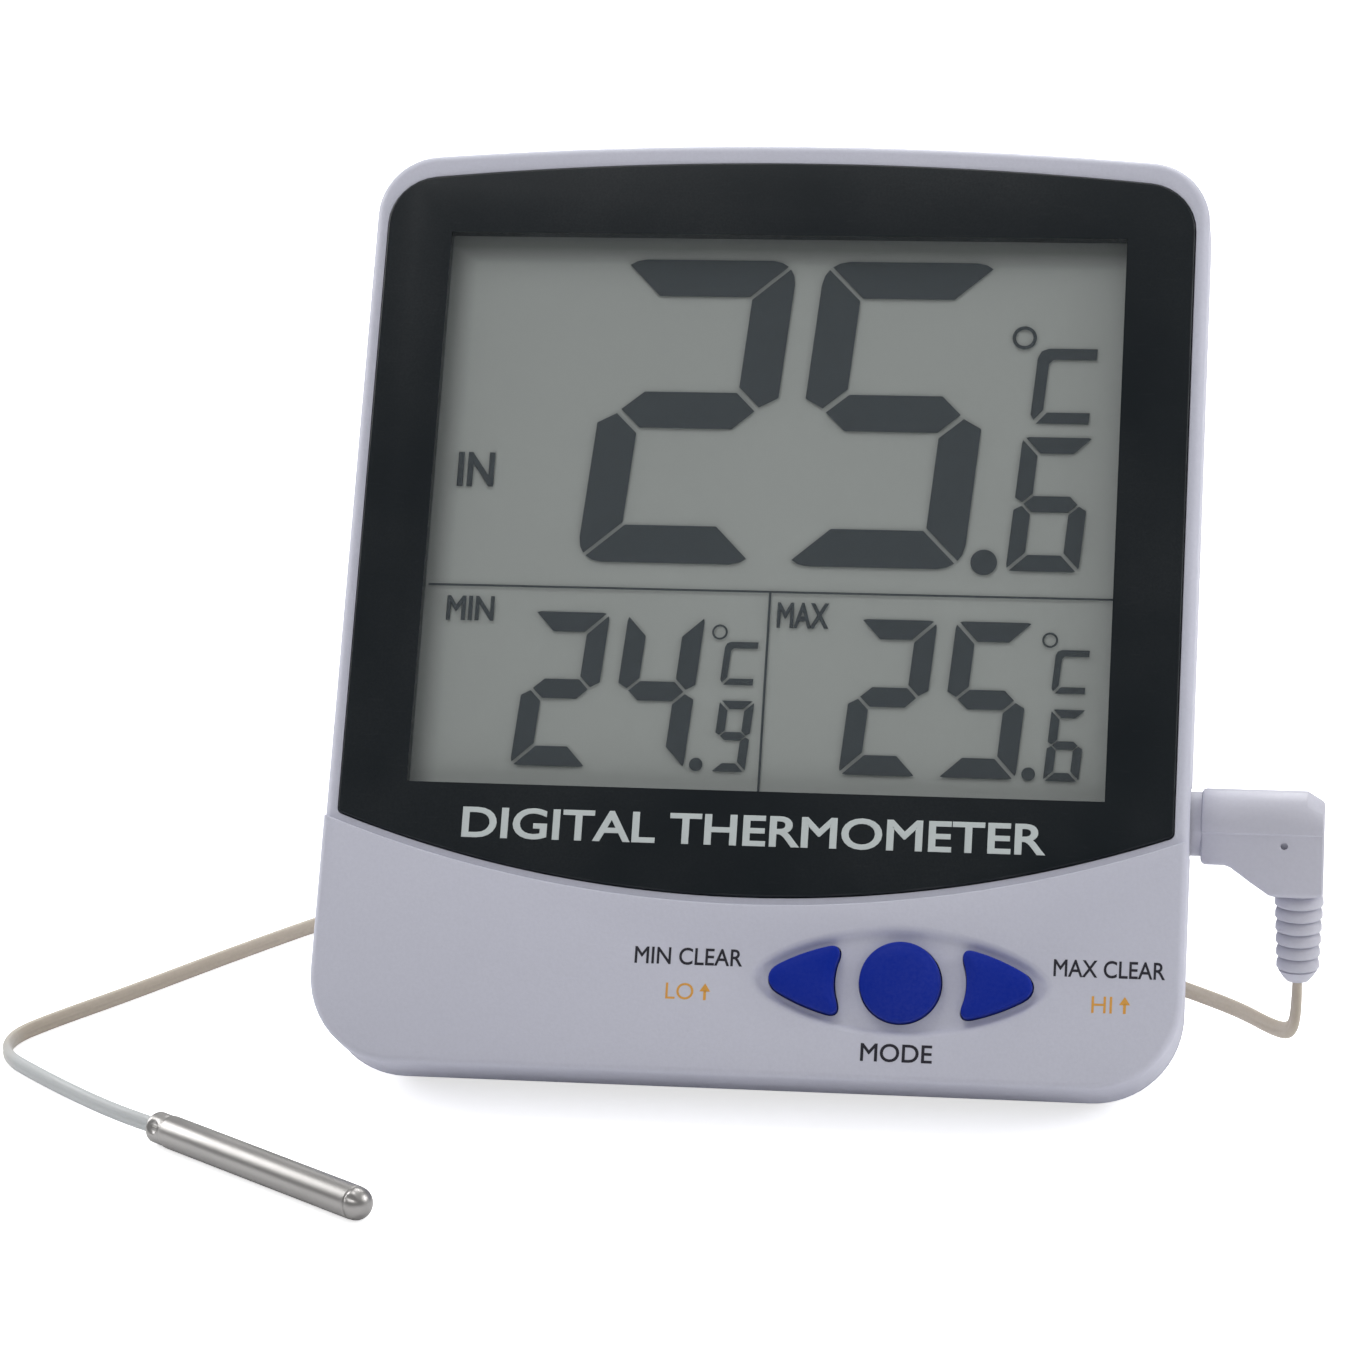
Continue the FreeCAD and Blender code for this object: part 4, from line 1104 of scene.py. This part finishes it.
class ThermometerPlug(bpy.types.Operator):
    """The right-angle plug, its ribbed strain relief and its pin"""

    bl_idname = "thermometer.plug"
    bl_label = "Plug"

    def execute(self, context):
        colours = context.scene.thermometer_colours
        soft = plastic(
            "plug vinyl", colours.plug, grain=2200.0, smooth=0.40, rough=0.52, drift=0.06, depth=0.00003
        )
        shell = self.shell()
        finish_piece(shell, "lead", "plug_plastic", soft, "plug_body")
        relief = self.relief(context.scene.thermometer_sizes.relief_ribs)
        finish_piece(relief, "lead", "plug_plastic", soft, "strain_relief")
        brass = metal("gilt brass", shade(214, 182, 116), 0.18, 0.3)
        for node in ("plug_sleeve", "plug_tip"):
            dress_node(node, brass)
        dress_node("plug_insulator", plastic("pin ring", shade(24, 24, 26), smooth=0.3, rough=0.4))
        return {"FINISHED"}

    def section(self, x, low, squeeze=1.0, top=1.0, wide=1.0):
        """The plug cut across its barrel: half round above the parting line, a flat block below."""
        barrel = 4.15
        flat = 3.92 * wide
        half = []
        for step in range(13):
            angle = math.radians(90 - 86 * step / 12)
            half.append((barrel * math.cos(angle) * wide, barrel * math.sin(angle) * top))
        half.append((flat, 0.02))
        half.append((flat, -0.9))
        half.append((flat, low * 0.55 - 0.6))
        for step in range(5):
            angle = math.radians(90 * step / 4)
            half.append((flat - 0.7 * (1 - math.cos(angle)), low + 0.7 - 0.7 * math.sin(angle)))
        half.append((flat * 0.4, low))
        points = [(y, z) for y, z in half] + [(-y, z) for y, z in reversed(half)]
        return [
            Vector((x, PLUG_AXIS[0] + y * squeeze, PLUG_AXIS[1] + z * squeeze)) for y, z in points[1:-1]
        ]

    def shell(self):
        stations = [
            (51.2, -3.7, 0.90, 1.0, 1.0),
            (51.35, -3.75, 0.97, 1.0, 1.0),
            (51.7, -3.85, 1.0, 1.0, 1.0),
            (53.9, -3.85, 1.0, 1.0, 1.0),
            (54.6, -4.1, 1.0, 1.0, 1.0),
            (56.8, -5.75, 1.0, 1.0, 1.0),
            (59.0, -7.3, 1.0, 1.0, 1.0),
            (59.8, -7.5, 1.0, 1.0, 1.0),
            (63.2, -7.5, 1.0, 1.0, 1.0),
            (65.0, -7.48, 1.0, 0.72, 0.94),
            (65.2, -7.4, 0.97, 0.68, 0.92),
        ]
        rings = [self.section(*station) for station in stations]
        shell = new_object("plug_shell", *loft(rings), place=ROW, sharp=24)
        collar = self.turned_along_x(
            "collar", [(0.01, 49.2), (3.5, 49.2), (3.7, 49.4), (3.7, 51.9), (0.01, 51.9)]
        )
        cut(shell, collar, "UNION")
        drill = self.turned_across(60.7, PLUG_AXIS[1] - 1.2, 0.42)
        cut(shell, drill)
        crisp(shell, 24)
        return shell

    def turned_along_x(self, name, profile):
        place = ROW @ Matrix.Translation((0, PLUG_AXIS[0], PLUG_AXIS[1]))
        return new_object(name, *lathe(profile, 48, "X"), place=place)

    def turned_across(self, x, z, radius):
        """A short drill into the plug's front face."""
        rings = []
        for depth in (-6.0, -3.3):
            rings.append([Vector((x + p.x, PLUG_AXIS[0] + depth, z + p.y)) for p in ring(0, 0, radius, 24)])
        return new_object("drill", *loft(rings), place=ROW)

    def relief(self, ribs):
        """Stacked cups: each flares downwards to a lip, then steps in to the next."""
        profile = [(0.01, RELIEF_END), (1.3, RELIEF_END), (1.75, RELIEF_END + 0.5), (2.25, RELIEF_END + 1.3)]
        pitch = (RELIEF_TOP - RELIEF_END - 1.8) / ribs
        for number in range(ribs):
            low = RELIEF_END + 1.5 + pitch * number
            wide = 2.45 + 0.40 * (number + 0.5) / ribs
            profile += [
                (wide - 0.55, low),
                (wide - 0.12, low + 0.06),
                (wide, low + 0.2),
                (wide - 0.02, low + 0.5 * pitch),
                (wide - 0.16, low + pitch - 0.34),
                (wide - 0.55, low + pitch - 0.14),
            ]
        profile += [(2.3, RELIEF_TOP), (2.3, RELIEF_TOP + 0.4), (0.01, RELIEF_TOP + 0.4)]
        place = ROW @ Matrix.Translation((RELIEF_X, PLUG_AXIS[0], 0))
        return new_object("plug_relief", *lathe(profile, 56), place=place, sharp=50)


def dress_node(node, material):
    """Give a frame node a finish in place of its plain one."""
    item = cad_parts[node]
    item.data.materials.clear()
    item.data.materials.append(material)
    for face in item.data.polygons:
        face.material_index = 0


class ThermometerProbe(bpy.types.Operator):
    """The steel probe sheath with its crimped mouth and welded tip, and what is inside it"""

    bl_idname = "thermometer.probe"
    bl_label = "Probe"

    def execute(self, context):
        steel = metal("drawn steel", shade(170, 168, 166), 0.32, 0.38, (0.0, 0.0, math.radians(36.4)))
        sheath = new_object("probe_sheath", *loft(self.rings()), place=self.place(), sharp=40)
        finish_piece(sheath, "lead", "stainless", steel, "probe_tube")
        dress_node("probe_potting", plastic("potting", shade(232, 230, 222), smooth=0.25, rough=0.4))
        dress_node("thermistor", plastic("sensor bead", shade(30, 26, 24), smooth=0.15, rough=0.3))
        return {"FINISHED"}

    def place(self):
        low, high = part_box("probe_potting")
        middle = (low + high) / 2 / MM
        heading = math.radians(-36.4)
        along = Vector((math.cos(heading), math.sin(heading), 0))
        mouth = middle - along * 3.5
        return ROW @ Matrix.Translation(mouth) @ Matrix.Rotation(heading, 4, "Z")

    def rings(self):
        """Inner wall from its blind end to the mouth, then the outer wall to the tip."""
        radius = 1.9
        length = 36.0
        inner = [(0.05, 33.0), (1.5, 33.0), (1.5, 20.0), (1.5, 0.05)]
        outer = [(1.55, 0.0), (1.74, 0.05), (1.8, 0.2), (1.8, 0.5), (1.8, 0.8), (1.8, 1.1), (1.8, 1.4)]
        outer += [(1.8, 1.7), (1.8, 2.0), (1.76, 2.2), (1.78, 2.36), (1.88, 2.5), (1.9, 2.7)]
        outer += [(radius, 12.0), (radius, 22.0), (radius, 33.4), (1.89, 33.9), (1.78, 34.0), (1.78, 34.12)]
        for step in range(9):
            angle = math.pi / 2 * step / 9
            outer.append((1.86 * math.cos(angle), length - 1.75 + 1.75 * math.sin(angle)))
        outer.append((0.04, length))
        rings = []
        count = 64
        for wall, x in inner + outer:
            points = []
            for step in range(count):
                angle = 2 * math.pi * step / count
                here = wall - self.dimple(angle, x, wall)
                points.append(Vector((x, here * math.cos(angle), here * math.sin(angle))))
            rings.append(points)
        return rings

    def dimple(self, angle, x, wall):
        """Four crimp flats near the mouth, and one small centring mark on the tip."""
        depth = 0.0
        if wall > 1.7 and 0.1 < x < 2.15:
            around = max(0.0, math.cos(2 * (angle - math.radians(158)))) ** 4
            along = math.exp(-(((x - 1.15) / 0.55) ** 4))
            depth += 0.6 * around * along
        if x > 34.2 and wall > 0.3:
            aside = math.atan2(math.sin(angle - 2.45), math.cos(angle - 2.45))
            depth += 0.32 * math.exp(-((aside / 0.16) ** 2)) * math.exp(-(((x - 34.9) / 0.45) ** 2))
        return depth


class ThermometerShell(bpy.types.Operator):
    """The front shell: arched case, raised apron, dish round the keys and the window's seat"""

    bl_idname = "thermometer.shell"
    bl_label = "Front shell"

    def execute(self, context):
        sizes = context.scene.thermometer_sizes
        shell = new_object(
            "front_shell", *loft(rounded_rings(inset(case_outline(), 0.02), -CASE_DEEP, 0.0, 1.1, 6))
        )
        cut(shell, self.apron(), "UNION")
        cut(shell, prism(inset(lens_outline(), -0.12), LENS_PROUD - LENS_THICK, 2.0))
        cut(shell, prism(rectangle(*WINDOW), -3.0, 2.0))
        cut(shell, prism(inset(case_outline(), WALL), -CASE_DEEP - 1.0, -FACE_WALL))
        cut(shell, self.dish(sizes.recess_depth / MM))
        for draw in KEYS.values():
            cut(shell, prism(inset(draw(), -KEY_GAP), -3.0, 2.0))
        cut(shell, self.socket())
        crisp(shell, 32)
        case = case_plastic(context)
        finish_piece(shell, "case", "case_plastic", case, "front_case")
        return {"FINISHED"}

    def apron(self):
        """The case's own section, raised, and kept only below the window's arc."""
        slab = new_object(
            "apron", *loft(rounded_rings(case_outline(), -CASE_DEEP + 1.5, APRON_RAISE, 0.8, 6))
        )
        far = CASE_HALF + 8
        arc = LENS_LOW_BOW + APRON_GAP
        centre = LENS_LOW + math.sqrt(LENS_LOW_BOW ** 2 - LENS_HALF ** 2)
        edge = centre - math.sqrt(arc ** 2 - far ** 2)
        corners = [(-far, -8, 0, 0), (far, -8, 0, 0), (far, edge, 0, -arc), (-far, edge, 0, 0)]
        mask = new_object(
            "mask", *loft(rounded_rings(outline(corners, 1.5), -CASE_DEEP - 1, APRON_RAISE + 0.02, 0.3, 4))
        )
        cut(slab, mask, "INTERSECT")
        return slab

    def dish(self, depth):
        """A shallow dish whose wall starts and ends gently."""
        shape = [(-1.6, APRON_RAISE + 0.25), (0.0, APRON_RAISE - 0.02)]
        for back, share in ((0.3, 0.16), (0.6, 0.45), (0.85, 0.75), (1.1, 0.93), (1.5, 1.0)):
            shape.append((back, APRON_RAISE - depth * share))
        rings = [recess_ring(back, z) for back, z in reversed(shape)]
        return new_object("dish", *loft(rings))

    def socket(self):
        rings = []
        for x in (CASE_HALF - 5.0, CASE_HALF + 3.0):
            rings.append([Vector((x, p.x, p.y)) for p in ring(SOCKET_UP, -CASE_DEEP, SOCKET_HOLE, 48)])
        return new_object("socket", *loft(rings))


def case_plastic(context):
    found = bpy.data.materials.get("case plastic")
    if found:
        return found
    colours = context.scene.thermometer_colours
    return plastic(
        "case plastic", colours.case, grain=2600.0, smooth=0.46, rough=0.6, drift=0.07, depth=0.00005
    )


class ThermometerWindow(bpy.types.Operator):
    """The window: a black printed border round a clear pane"""

    bl_idname = "thermometer.window"
    bl_label = "Window"

    def execute(self, context):
        colours = context.scene.thermometer_colours
        back = LENS_PROUD - LENS_THICK
        rings = rounded_rings(lens_outline(), back, LENS_PROUD, 0.28, 3)
        border = new_object("window_border", *loft(rings))
        cut(border, prism(rectangle(*PANE), back - 1, LENS_PROUD + 1))
        crisp(border, 30)
        finish_piece(border, "case", "lens_plastic", window_border(colours.border))
        left, right, low, high = PANE
        edge = 0.01
        pane_outline = rectangle(left + edge, right - edge, low + edge, high - edge)
        pane = new_object(
            "window_pane", *loft([level(pane_outline, back), level(pane_outline, LENS_PROUD)])
        )
        finish_piece(pane, "case", "lens_plastic", window_clear(), "display_lens")
        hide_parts("display_lens")
        return {"FINISHED"}


# -------------------------------------------------------------- the display


SLANT = 0.08
SEGMENTS = {"2": "ABGED", "4": "FGBC", "5": "AFGCD", "6": "AFGECD", "9": "ABCDFG"}


def segment_shapes(wide, high, upright, level_bar, rounding, gap):
    """The seven segments of one figure cell, unslanted, from its lower left corner."""
    half = high / 2
    corner = math.atan2(1, 1)
    slip = gap / 2 / rounding

    def rim(angle):
        return (
            rounding - rounding * math.cos(angle),
            half - rounding + rounding * math.sin(angle),
        )

    side = [rim(corner - slip), rim(corner / 2), rim(0.0)]
    side += [(0, 0.37 * level_bar), (0.45 * upright, 0.11 * level_bar)]
    side += [(upright, 0.64 * level_bar), (upright, half - level_bar - 0.7 * gap)]
    bar = [rim(corner + slip), rim(corner * 1.5), rim(math.pi / 2)]
    across = [(x, y) for x, y in bar] + [(wide - x, y) for x, y in reversed(bar)]
    across += [(wide - upright - 0.7 * gap, half - level_bar), (upright + 0.7 * gap, half - level_bar)]
    thick = level_bar / 2 * 0.98
    middle = [(0.54 * upright, 0), (1.06 * upright, thick), (wide - 1.04 * upright, thick)]
    middle += [(wide - 0.54 * upright, 0), (wide - 1.04 * upright, -thick), (1.06 * upright, -thick)]
    shapes = {
        "A": across,
        "D": [(x, -y) for x, y in across],
        "B": [(wide - x, y) for x, y in side],
        "C": [(wide - x, -y) for x, y in side],
        "F": side,
        "E": [(x, -y) for x, y in side],
        "G": middle,
    }
    return {key: [(x, y + half) for x, y in points] for key, points in shapes.items()}


def slanted(points, left, low):
    return [Vector((left + x + SLANT * y, low + y)) for x, y in points]


def figure(character, left, low, wide, high, upright, bar, rounding, gap):
    shapes = segment_shapes(wide, high, upright, bar, rounding, gap)
    return [slanted(shapes[key], left, low) for key in SEGMENTS[character]]


def degree_c(left, low, scale):
    """The unit: a C of two strokes, its lower bar split off by a diagonal gap."""
    high = 9.3 * scale
    wide = 6.9 * scale
    bar = 1.38 * scale
    gap = 0.3 * scale
    hook = [(0.4 * scale, 0.45 * scale), (0.0, 1.1 * scale), (0.0, high - 1.2 * scale)]
    hook += [(0.35 * scale, high - 0.35 * scale), (1.2 * scale, high), (wide, high), (wide, high - bar)]
    hook += [(1.9 * scale, high - bar), (1.4 * scale, high - 1.9 * scale), (1.4 * scale, bar + gap)]
    foot = [(0.75 * scale, 0.0), (wide, 0.0), (wide, bar), (1.4 * scale + gap * 1.6, bar)]
    return [slanted(hook, left, low), slanted(foot, left, low)]


def annulus(x, y, outer, thick, low, high):
    rings = []
    for radius, z in ((outer - thick, low), (outer, low), (outer, high), (outer - thick, high)):
        rings.append(level(ring(x, y, radius, 40), z))
    return loft(rings, closed=True)


def sheet_of(shapes, low, high):
    """Many thin flat shapes as one mesh."""
    verts = []
    faces = []
    for points in shapes:
        more, sides = loft([level(points, low), level(points, high)])
        base = len(verts)
        verts += more
        faces += [tuple(base + index for index in face) for face in sides]
    return verts, faces


class ThermometerDisplay(bpy.types.Operator):
    """The display's figures, units, words and dividing lines"""

    bl_idname = "thermometer.display"
    bl_label = "Display"

    def execute(self, context):
        colours = context.scene.thermometer_colours
        film = display_film(colours.film)
        dress_node("lcd_panel", film)
        ink = printed_ink("display ink", colours.segments)
        low = INK_LEVEL
        high = INK_LEVEL + INK_THICK
        shapes = self.main_reading() + self.low_reading(0.0, "24", "9") + self.low_reading(38.5, "25", "6")
        verts, faces = sheet_of(shapes, low, high)
        for x, y, outer, thick in (
            (28.75, 89.6, 1.44, 0.42),
            (-5.2, 52.7, 0.92, 0.24),
            (33.3, 52.7, 0.92, 0.24),
        ):
            more, sides = annulus(x, y, outer, thick, low, high)
            base = len(verts)
            verts += more
            faces += [tuple(base + index for index in face) for face in sides]
        figures = new_object("display_figures", verts, faces)
        finish_piece(figures, "case", "display_glass", ink)
        for number, (word, box) in enumerate(
            (
                ("IN", (-37.9, -33.5, 69.95, 74.2)),
                ("MIN", (-37.9, -32.2, 53.4, 56.4)),
                ("MAX", (1.4, 7.5, 53.4, 56.5)),
            )
        ):
            lettering(f"display_word_{number + 1}", word, box, low, 0.03, ink, "display_glass", weight=0.025)
        return {"FINISHED"}

    def main_reading(self):
        shapes = figure("2", -22.87, 60.95, 21.2, 37.9, 4.85, 4.62, 3.0, 0.46)
        shapes += figure("5", 1.56, 60.95, 21.2, 37.9, 4.85, 4.62, 3.0, 0.46)
        shapes += figure("6", 27.76, 60.92, 8.45, 16.4, 2.0, 2.0, 0.8, 0.42)
        shapes.append(ring(25.19, 61.9, 1.55, 40))
        shapes += degree_c(29.75, 79.0, 1.0)
        shapes.append([Vector(p) for p in ((-40.3, 57.6), (40.4, 57.6), (40.4, 57.85), (-40.3, 57.85))])
        shapes.append([Vector(p) for p in ((0.3, 33.2), (0.58, 33.2), (0.58, 57.6), (0.3, 57.6))])
        return shapes

    def low_reading(self, shift, figures, tenth):
        shapes = []
        for index, character in enumerate(figures):
            left = -28.9 + 11.3 * index + shift
            shapes += figure(character, left, 36.0, 9.1, 18.7, 2.4, 2.4, 0.9, 0.42)
        shapes += figure(tenth, -5.35 + shift, 35.95, 4.05, 8.5, 1.05, 1.0, 0.4, 0.28)
        shapes.append(ring(-7.04 + shift, 36.7, 0.79, 32))
        shapes += degree_c(-4.85 + shift, 46.35, 0.56)
        return shapes


def lettering(name, words, box, base, thick, material, slot, weight=0.0, body="case"):
    """Words fitted into box (left, right, low, high) on the face, thick above base."""
    data = bpy.data.curves.new(name, "FONT")
    data.body = words
    data.resolution_u = 5
    data.bevel_depth = weight
    data.bevel_resolution = 0
    data.extrude = 0.5
    holder = bpy.data.objects.new(name, data)
    bpy.context.scene.collection.objects.link(holder)
    bpy.context.view_layer.update()
    graph = bpy.context.evaluated_depsgraph_get()
    mesh = bpy.data.meshes.new_from_object(holder.evaluated_get(graph))
    bpy.data.objects.remove(holder)
    xs = [vertex.co.x for vertex in mesh.vertices]
    ys = [vertex.co.y for vertex in mesh.vertices]
    left, right, low, high = box
    for vertex in mesh.vertices:
        x = left + (vertex.co.x - min(xs)) / (max(xs) - min(xs)) * (right - left)
        y = low + (vertex.co.y - min(ys)) / (max(ys) - min(ys)) * (high - low)
        z = base + (thick if vertex.co.z > 0 else 0.0)
        vertex.co = FACE @ Vector((x, y, z))
    tidy = bmesh.new()
    tidy.from_mesh(mesh)
    bmesh.ops.remove_doubles(tidy, verts=tidy.verts, dist=1e-7)
    bmesh.ops.recalc_face_normals(tidy, faces=tidy.faces)
    tidy.to_mesh(mesh)
    tidy.free()
    piece = bpy.data.objects.new(name, mesh)
    bpy.context.scene.collection.objects.link(piece)
    return finish_piece(piece, body, slot, material)


class ThermometerKeys(bpy.types.Operator):
    """Three crowned rubber keys: a round one between two leaves"""

    bl_idname = "thermometer.keys"
    bl_label = "Keys"

    def execute(self, context):
        sizes = context.scene.thermometer_sizes
        colours = context.scene.thermometer_colours
        rubber = plastic(
            "key rubber", colours.keys, grain=2400.0, smooth=0.38, rough=0.5, drift=0.04, depth=0.00004,
            marks=0.004,
        )
        parts_of(rubber)[1].inputs["Specular IOR Level"].default_value = 0.08
        for name, draw in KEYS.items():
            crown = sizes.key_crown / MM
            cap = self.cap(name, draw(), crown if name == "mode" else crown / 2)
            finish_piece(cap, f"{name}_key", "key_blue", rubber, f"{name}_key")
        return {"FINISHED"}

    def cap(self, name, points, crown):
        rim = 1.25
        soft = 0.45
        rings = [level(inset(points, -0.5), -3.0), level(inset(points, -0.5), -2.2), level(points, -2.15)]
        steps = 5
        for step in range(steps + 1):
            angle = math.pi / 2 * step / steps
            back = soft * (1 - math.cos(angle))
            rings.append(level(inset(points, back), rim - soft + soft * math.sin(angle)))
        edge = inset(points, soft)
        middle = sum(edge, Vector((0, 0))) / len(edge)
        for share in (0.95, 0.88, 0.78, 0.6, 0.35):
            rise = rim + crown * (1 - share ** 4)
            rings.append([Vector((*(middle + (p - middle) * share), rise)) for p in edge])
        return new_object(f"{name}_key_cap", *loft(rings), sharp=60)


class ThermometerLegends(bpy.types.Operator):
    """Printed plain words: the title under the display and the captions by the keys"""

    bl_idname = "thermometer.legends"
    bl_label = "Legends"

    def execute(self, context):
        dark = printed_ink("dark print", shade(28, 26, 40))
        orange = printed_ink("orange print", shade(222, 160, 70))
        pale = printed_ink("pale print", shade(196, 204, 204))
        face = APRON_RAISE - 0.01
        lettering("title", "DIGITAL THERMOMETER", (-33.5, 34.0, 26.6, 30.3), LENS_PROUD - 0.01, 0.03,
                  pale, None, weight=0.018)
        for name, words, box, ink, weight in (
            ("caption_min", "MIN CLEAR", (-12.2, 0.2, 12.5, 14.5), dark, 0.01),
            ("caption_max", "MAX CLEAR", (35.5, 48.0, 12.7, 14.7), dark, 0.01),
            ("caption_mode", "MODE", (14.2, 22.3, 2.2, 4.3), dark, 0.01),
            ("caption_low", "LO", (-8.4, -5.2, 8.5, 10.4), orange, 0.0),
            ("caption_high", "HI", (39.9, 42.2, 8.7, 10.6), orange, 0.0),
        ):
            lettering(name, words, box, face, INK_THICK, ink, None, weight)
        shapes = self.arrow(-3.9, 8.5) + self.arrow(43.6, 8.7)
        arrows = new_object("caption_arrows", *sheet_of(shapes, face, face + INK_THICK))
        finish_piece(arrows, "case", None, orange)
        return {"FINISHED"}

    def arrow(self, x, y):
        stem = [(x - 0.16, y), (x + 0.16, y), (x + 0.16, y + 1.1), (x - 0.16, y + 1.1)]
        head = [(x - 0.62, y + 1.0), (x + 0.62, y + 1.0), (x, y + 1.95)]
        return [[Vector(p) for p in stem], [Vector(p) for p in head]]


class ThermometerBack(bpy.types.Operator):
    """The rear shell, stand leg, battery door, switch knob and screws"""

    bl_idname = "thermometer.back"
    bl_label = "Back"

    def execute(self, context):
        case = case_plastic(context)
        radius = context.scene.thermometer_sizes.edge_round
        for node, name, body in (
            ("rear_case", "rear_shell", "case"),
            ("battery_door", "door_plate", "door"),
            ("stand_leg", "leg_frame", "stand"),
        ):
            piece = softened_copy(node, name, radius)
            finish_piece(piece, body, "case_plastic", case, node)
        dress_node("switch_knob", plastic("knob plastic", shade(34, 34, 36), smooth=0.3, rough=0.45))
        dress_node("case_screws", metal("screw steel", shade(168, 168, 166), 0.25, 0.4))
        return {"FINISHED"}


class ThermometerInsides(bpy.types.Operator):
    """Finishes for everything inside the case"""

    bl_idname = "thermometer.insides"
    bl_label = "Insides"

    def execute(self, context):
        black = plastic("black moulding", shade(30, 30, 32), smooth=0.35, rough=0.5)
        rubber = plastic("carbon rubber", shade(46, 46, 48), grain=1500.0, smooth=0.55, rough=0.7)
        white = plastic("white moulding", shade(226, 226, 224), smooth=0.4, rough=0.55)
        nickel = metal("nickel plate", shade(190, 188, 180), 0.2, 0.32)
        zebra = zebra_rubber()
        finishes = {
            "lcd_backing": plastic("reflector", shade(214, 216, 214), smooth=0.25, rough=0.35),
            "lcd_frame": white,
            "connector_strip_top": zebra,
            "connector_strip_bottom": zebra,
            "circuit_board": board_laminate(),
            "chip_cover": plastic("chip resin", shade(22, 22, 24), smooth=0.12, rough=0.25),
            "crystal": nickel,
            "buzzer": black,
            "switch_body": nickel,
            "min_plunger": rubber,
            "mode_plunger": rubber,
            "max_plunger": rubber,
            "key_mat": rubber,
            "probe_jack": black,
            "battery": battery_sleeve(),
            "battery_plate": nickel,
            "battery_spring": nickel,
        }
        for node, material in finishes.items():
            dress_node(node, material)
        return {"FINISHED"}


class ThermometerDeclareLead(bpy.types.Operator):
    """Removes the lead's stored path from the scene"""

    bl_idname = "thermometer.declare_lead"
    bl_label = "Declare lead"

    def execute(self, context):
        del context.scene["lead_path"]
        return {"FINISHED"}


OPERATORS = (
    ThermometerStage,
    ThermometerLead,
    ThermometerPlug,
    ThermometerProbe,
    ThermometerShell,
    ThermometerWindow,
    ThermometerDisplay,
    ThermometerKeys,
    ThermometerLegends,
    ThermometerBack,
    ThermometerInsides,
    ThermometerDeclareLead,
)


class ThermometerPanel(bpy.types.Panel):
    """Lists the sizes, colours and pieces"""

    bl_idname = "VIEW3D_PT_thermometer"
    bl_label = "Thermometer"
    bl_space_type = "VIEW_3D"
    bl_region_type = "UI"
    bl_category = "Thermometer"

    def draw(self, context):
        layout = self.layout
        for group in (context.scene.thermometer_sizes, context.scene.thermometer_colours):
            for key in group.bl_rna.properties.keys():
                if key not in ("rna_type", "name"):
                    layout.prop(group, key)
        for operator in OPERATORS:
            layout.operator(operator.bl_idname)


CLASSES = (ThermometerSizes, ThermometerColours, *OPERATORS, ThermometerPanel)


def register():
    for item in CLASSES:
        bpy.utils.register_class(item)
    bpy.types.Scene.thermometer_sizes = PointerProperty(type=ThermometerSizes)
    bpy.types.Scene.thermometer_colours = PointerProperty(type=ThermometerColours)


def unregister():
    del bpy.types.Scene.thermometer_colours
    del bpy.types.Scene.thermometer_sizes
    for item in reversed(CLASSES):
        bpy.utils.unregister_class(item)


def main():
    register()
    for operator in OPERATORS:
        group, name = operator.bl_idname.split(".")
        getattr(getattr(bpy.ops, group), name)()


if __name__ == "__main__":
    main()
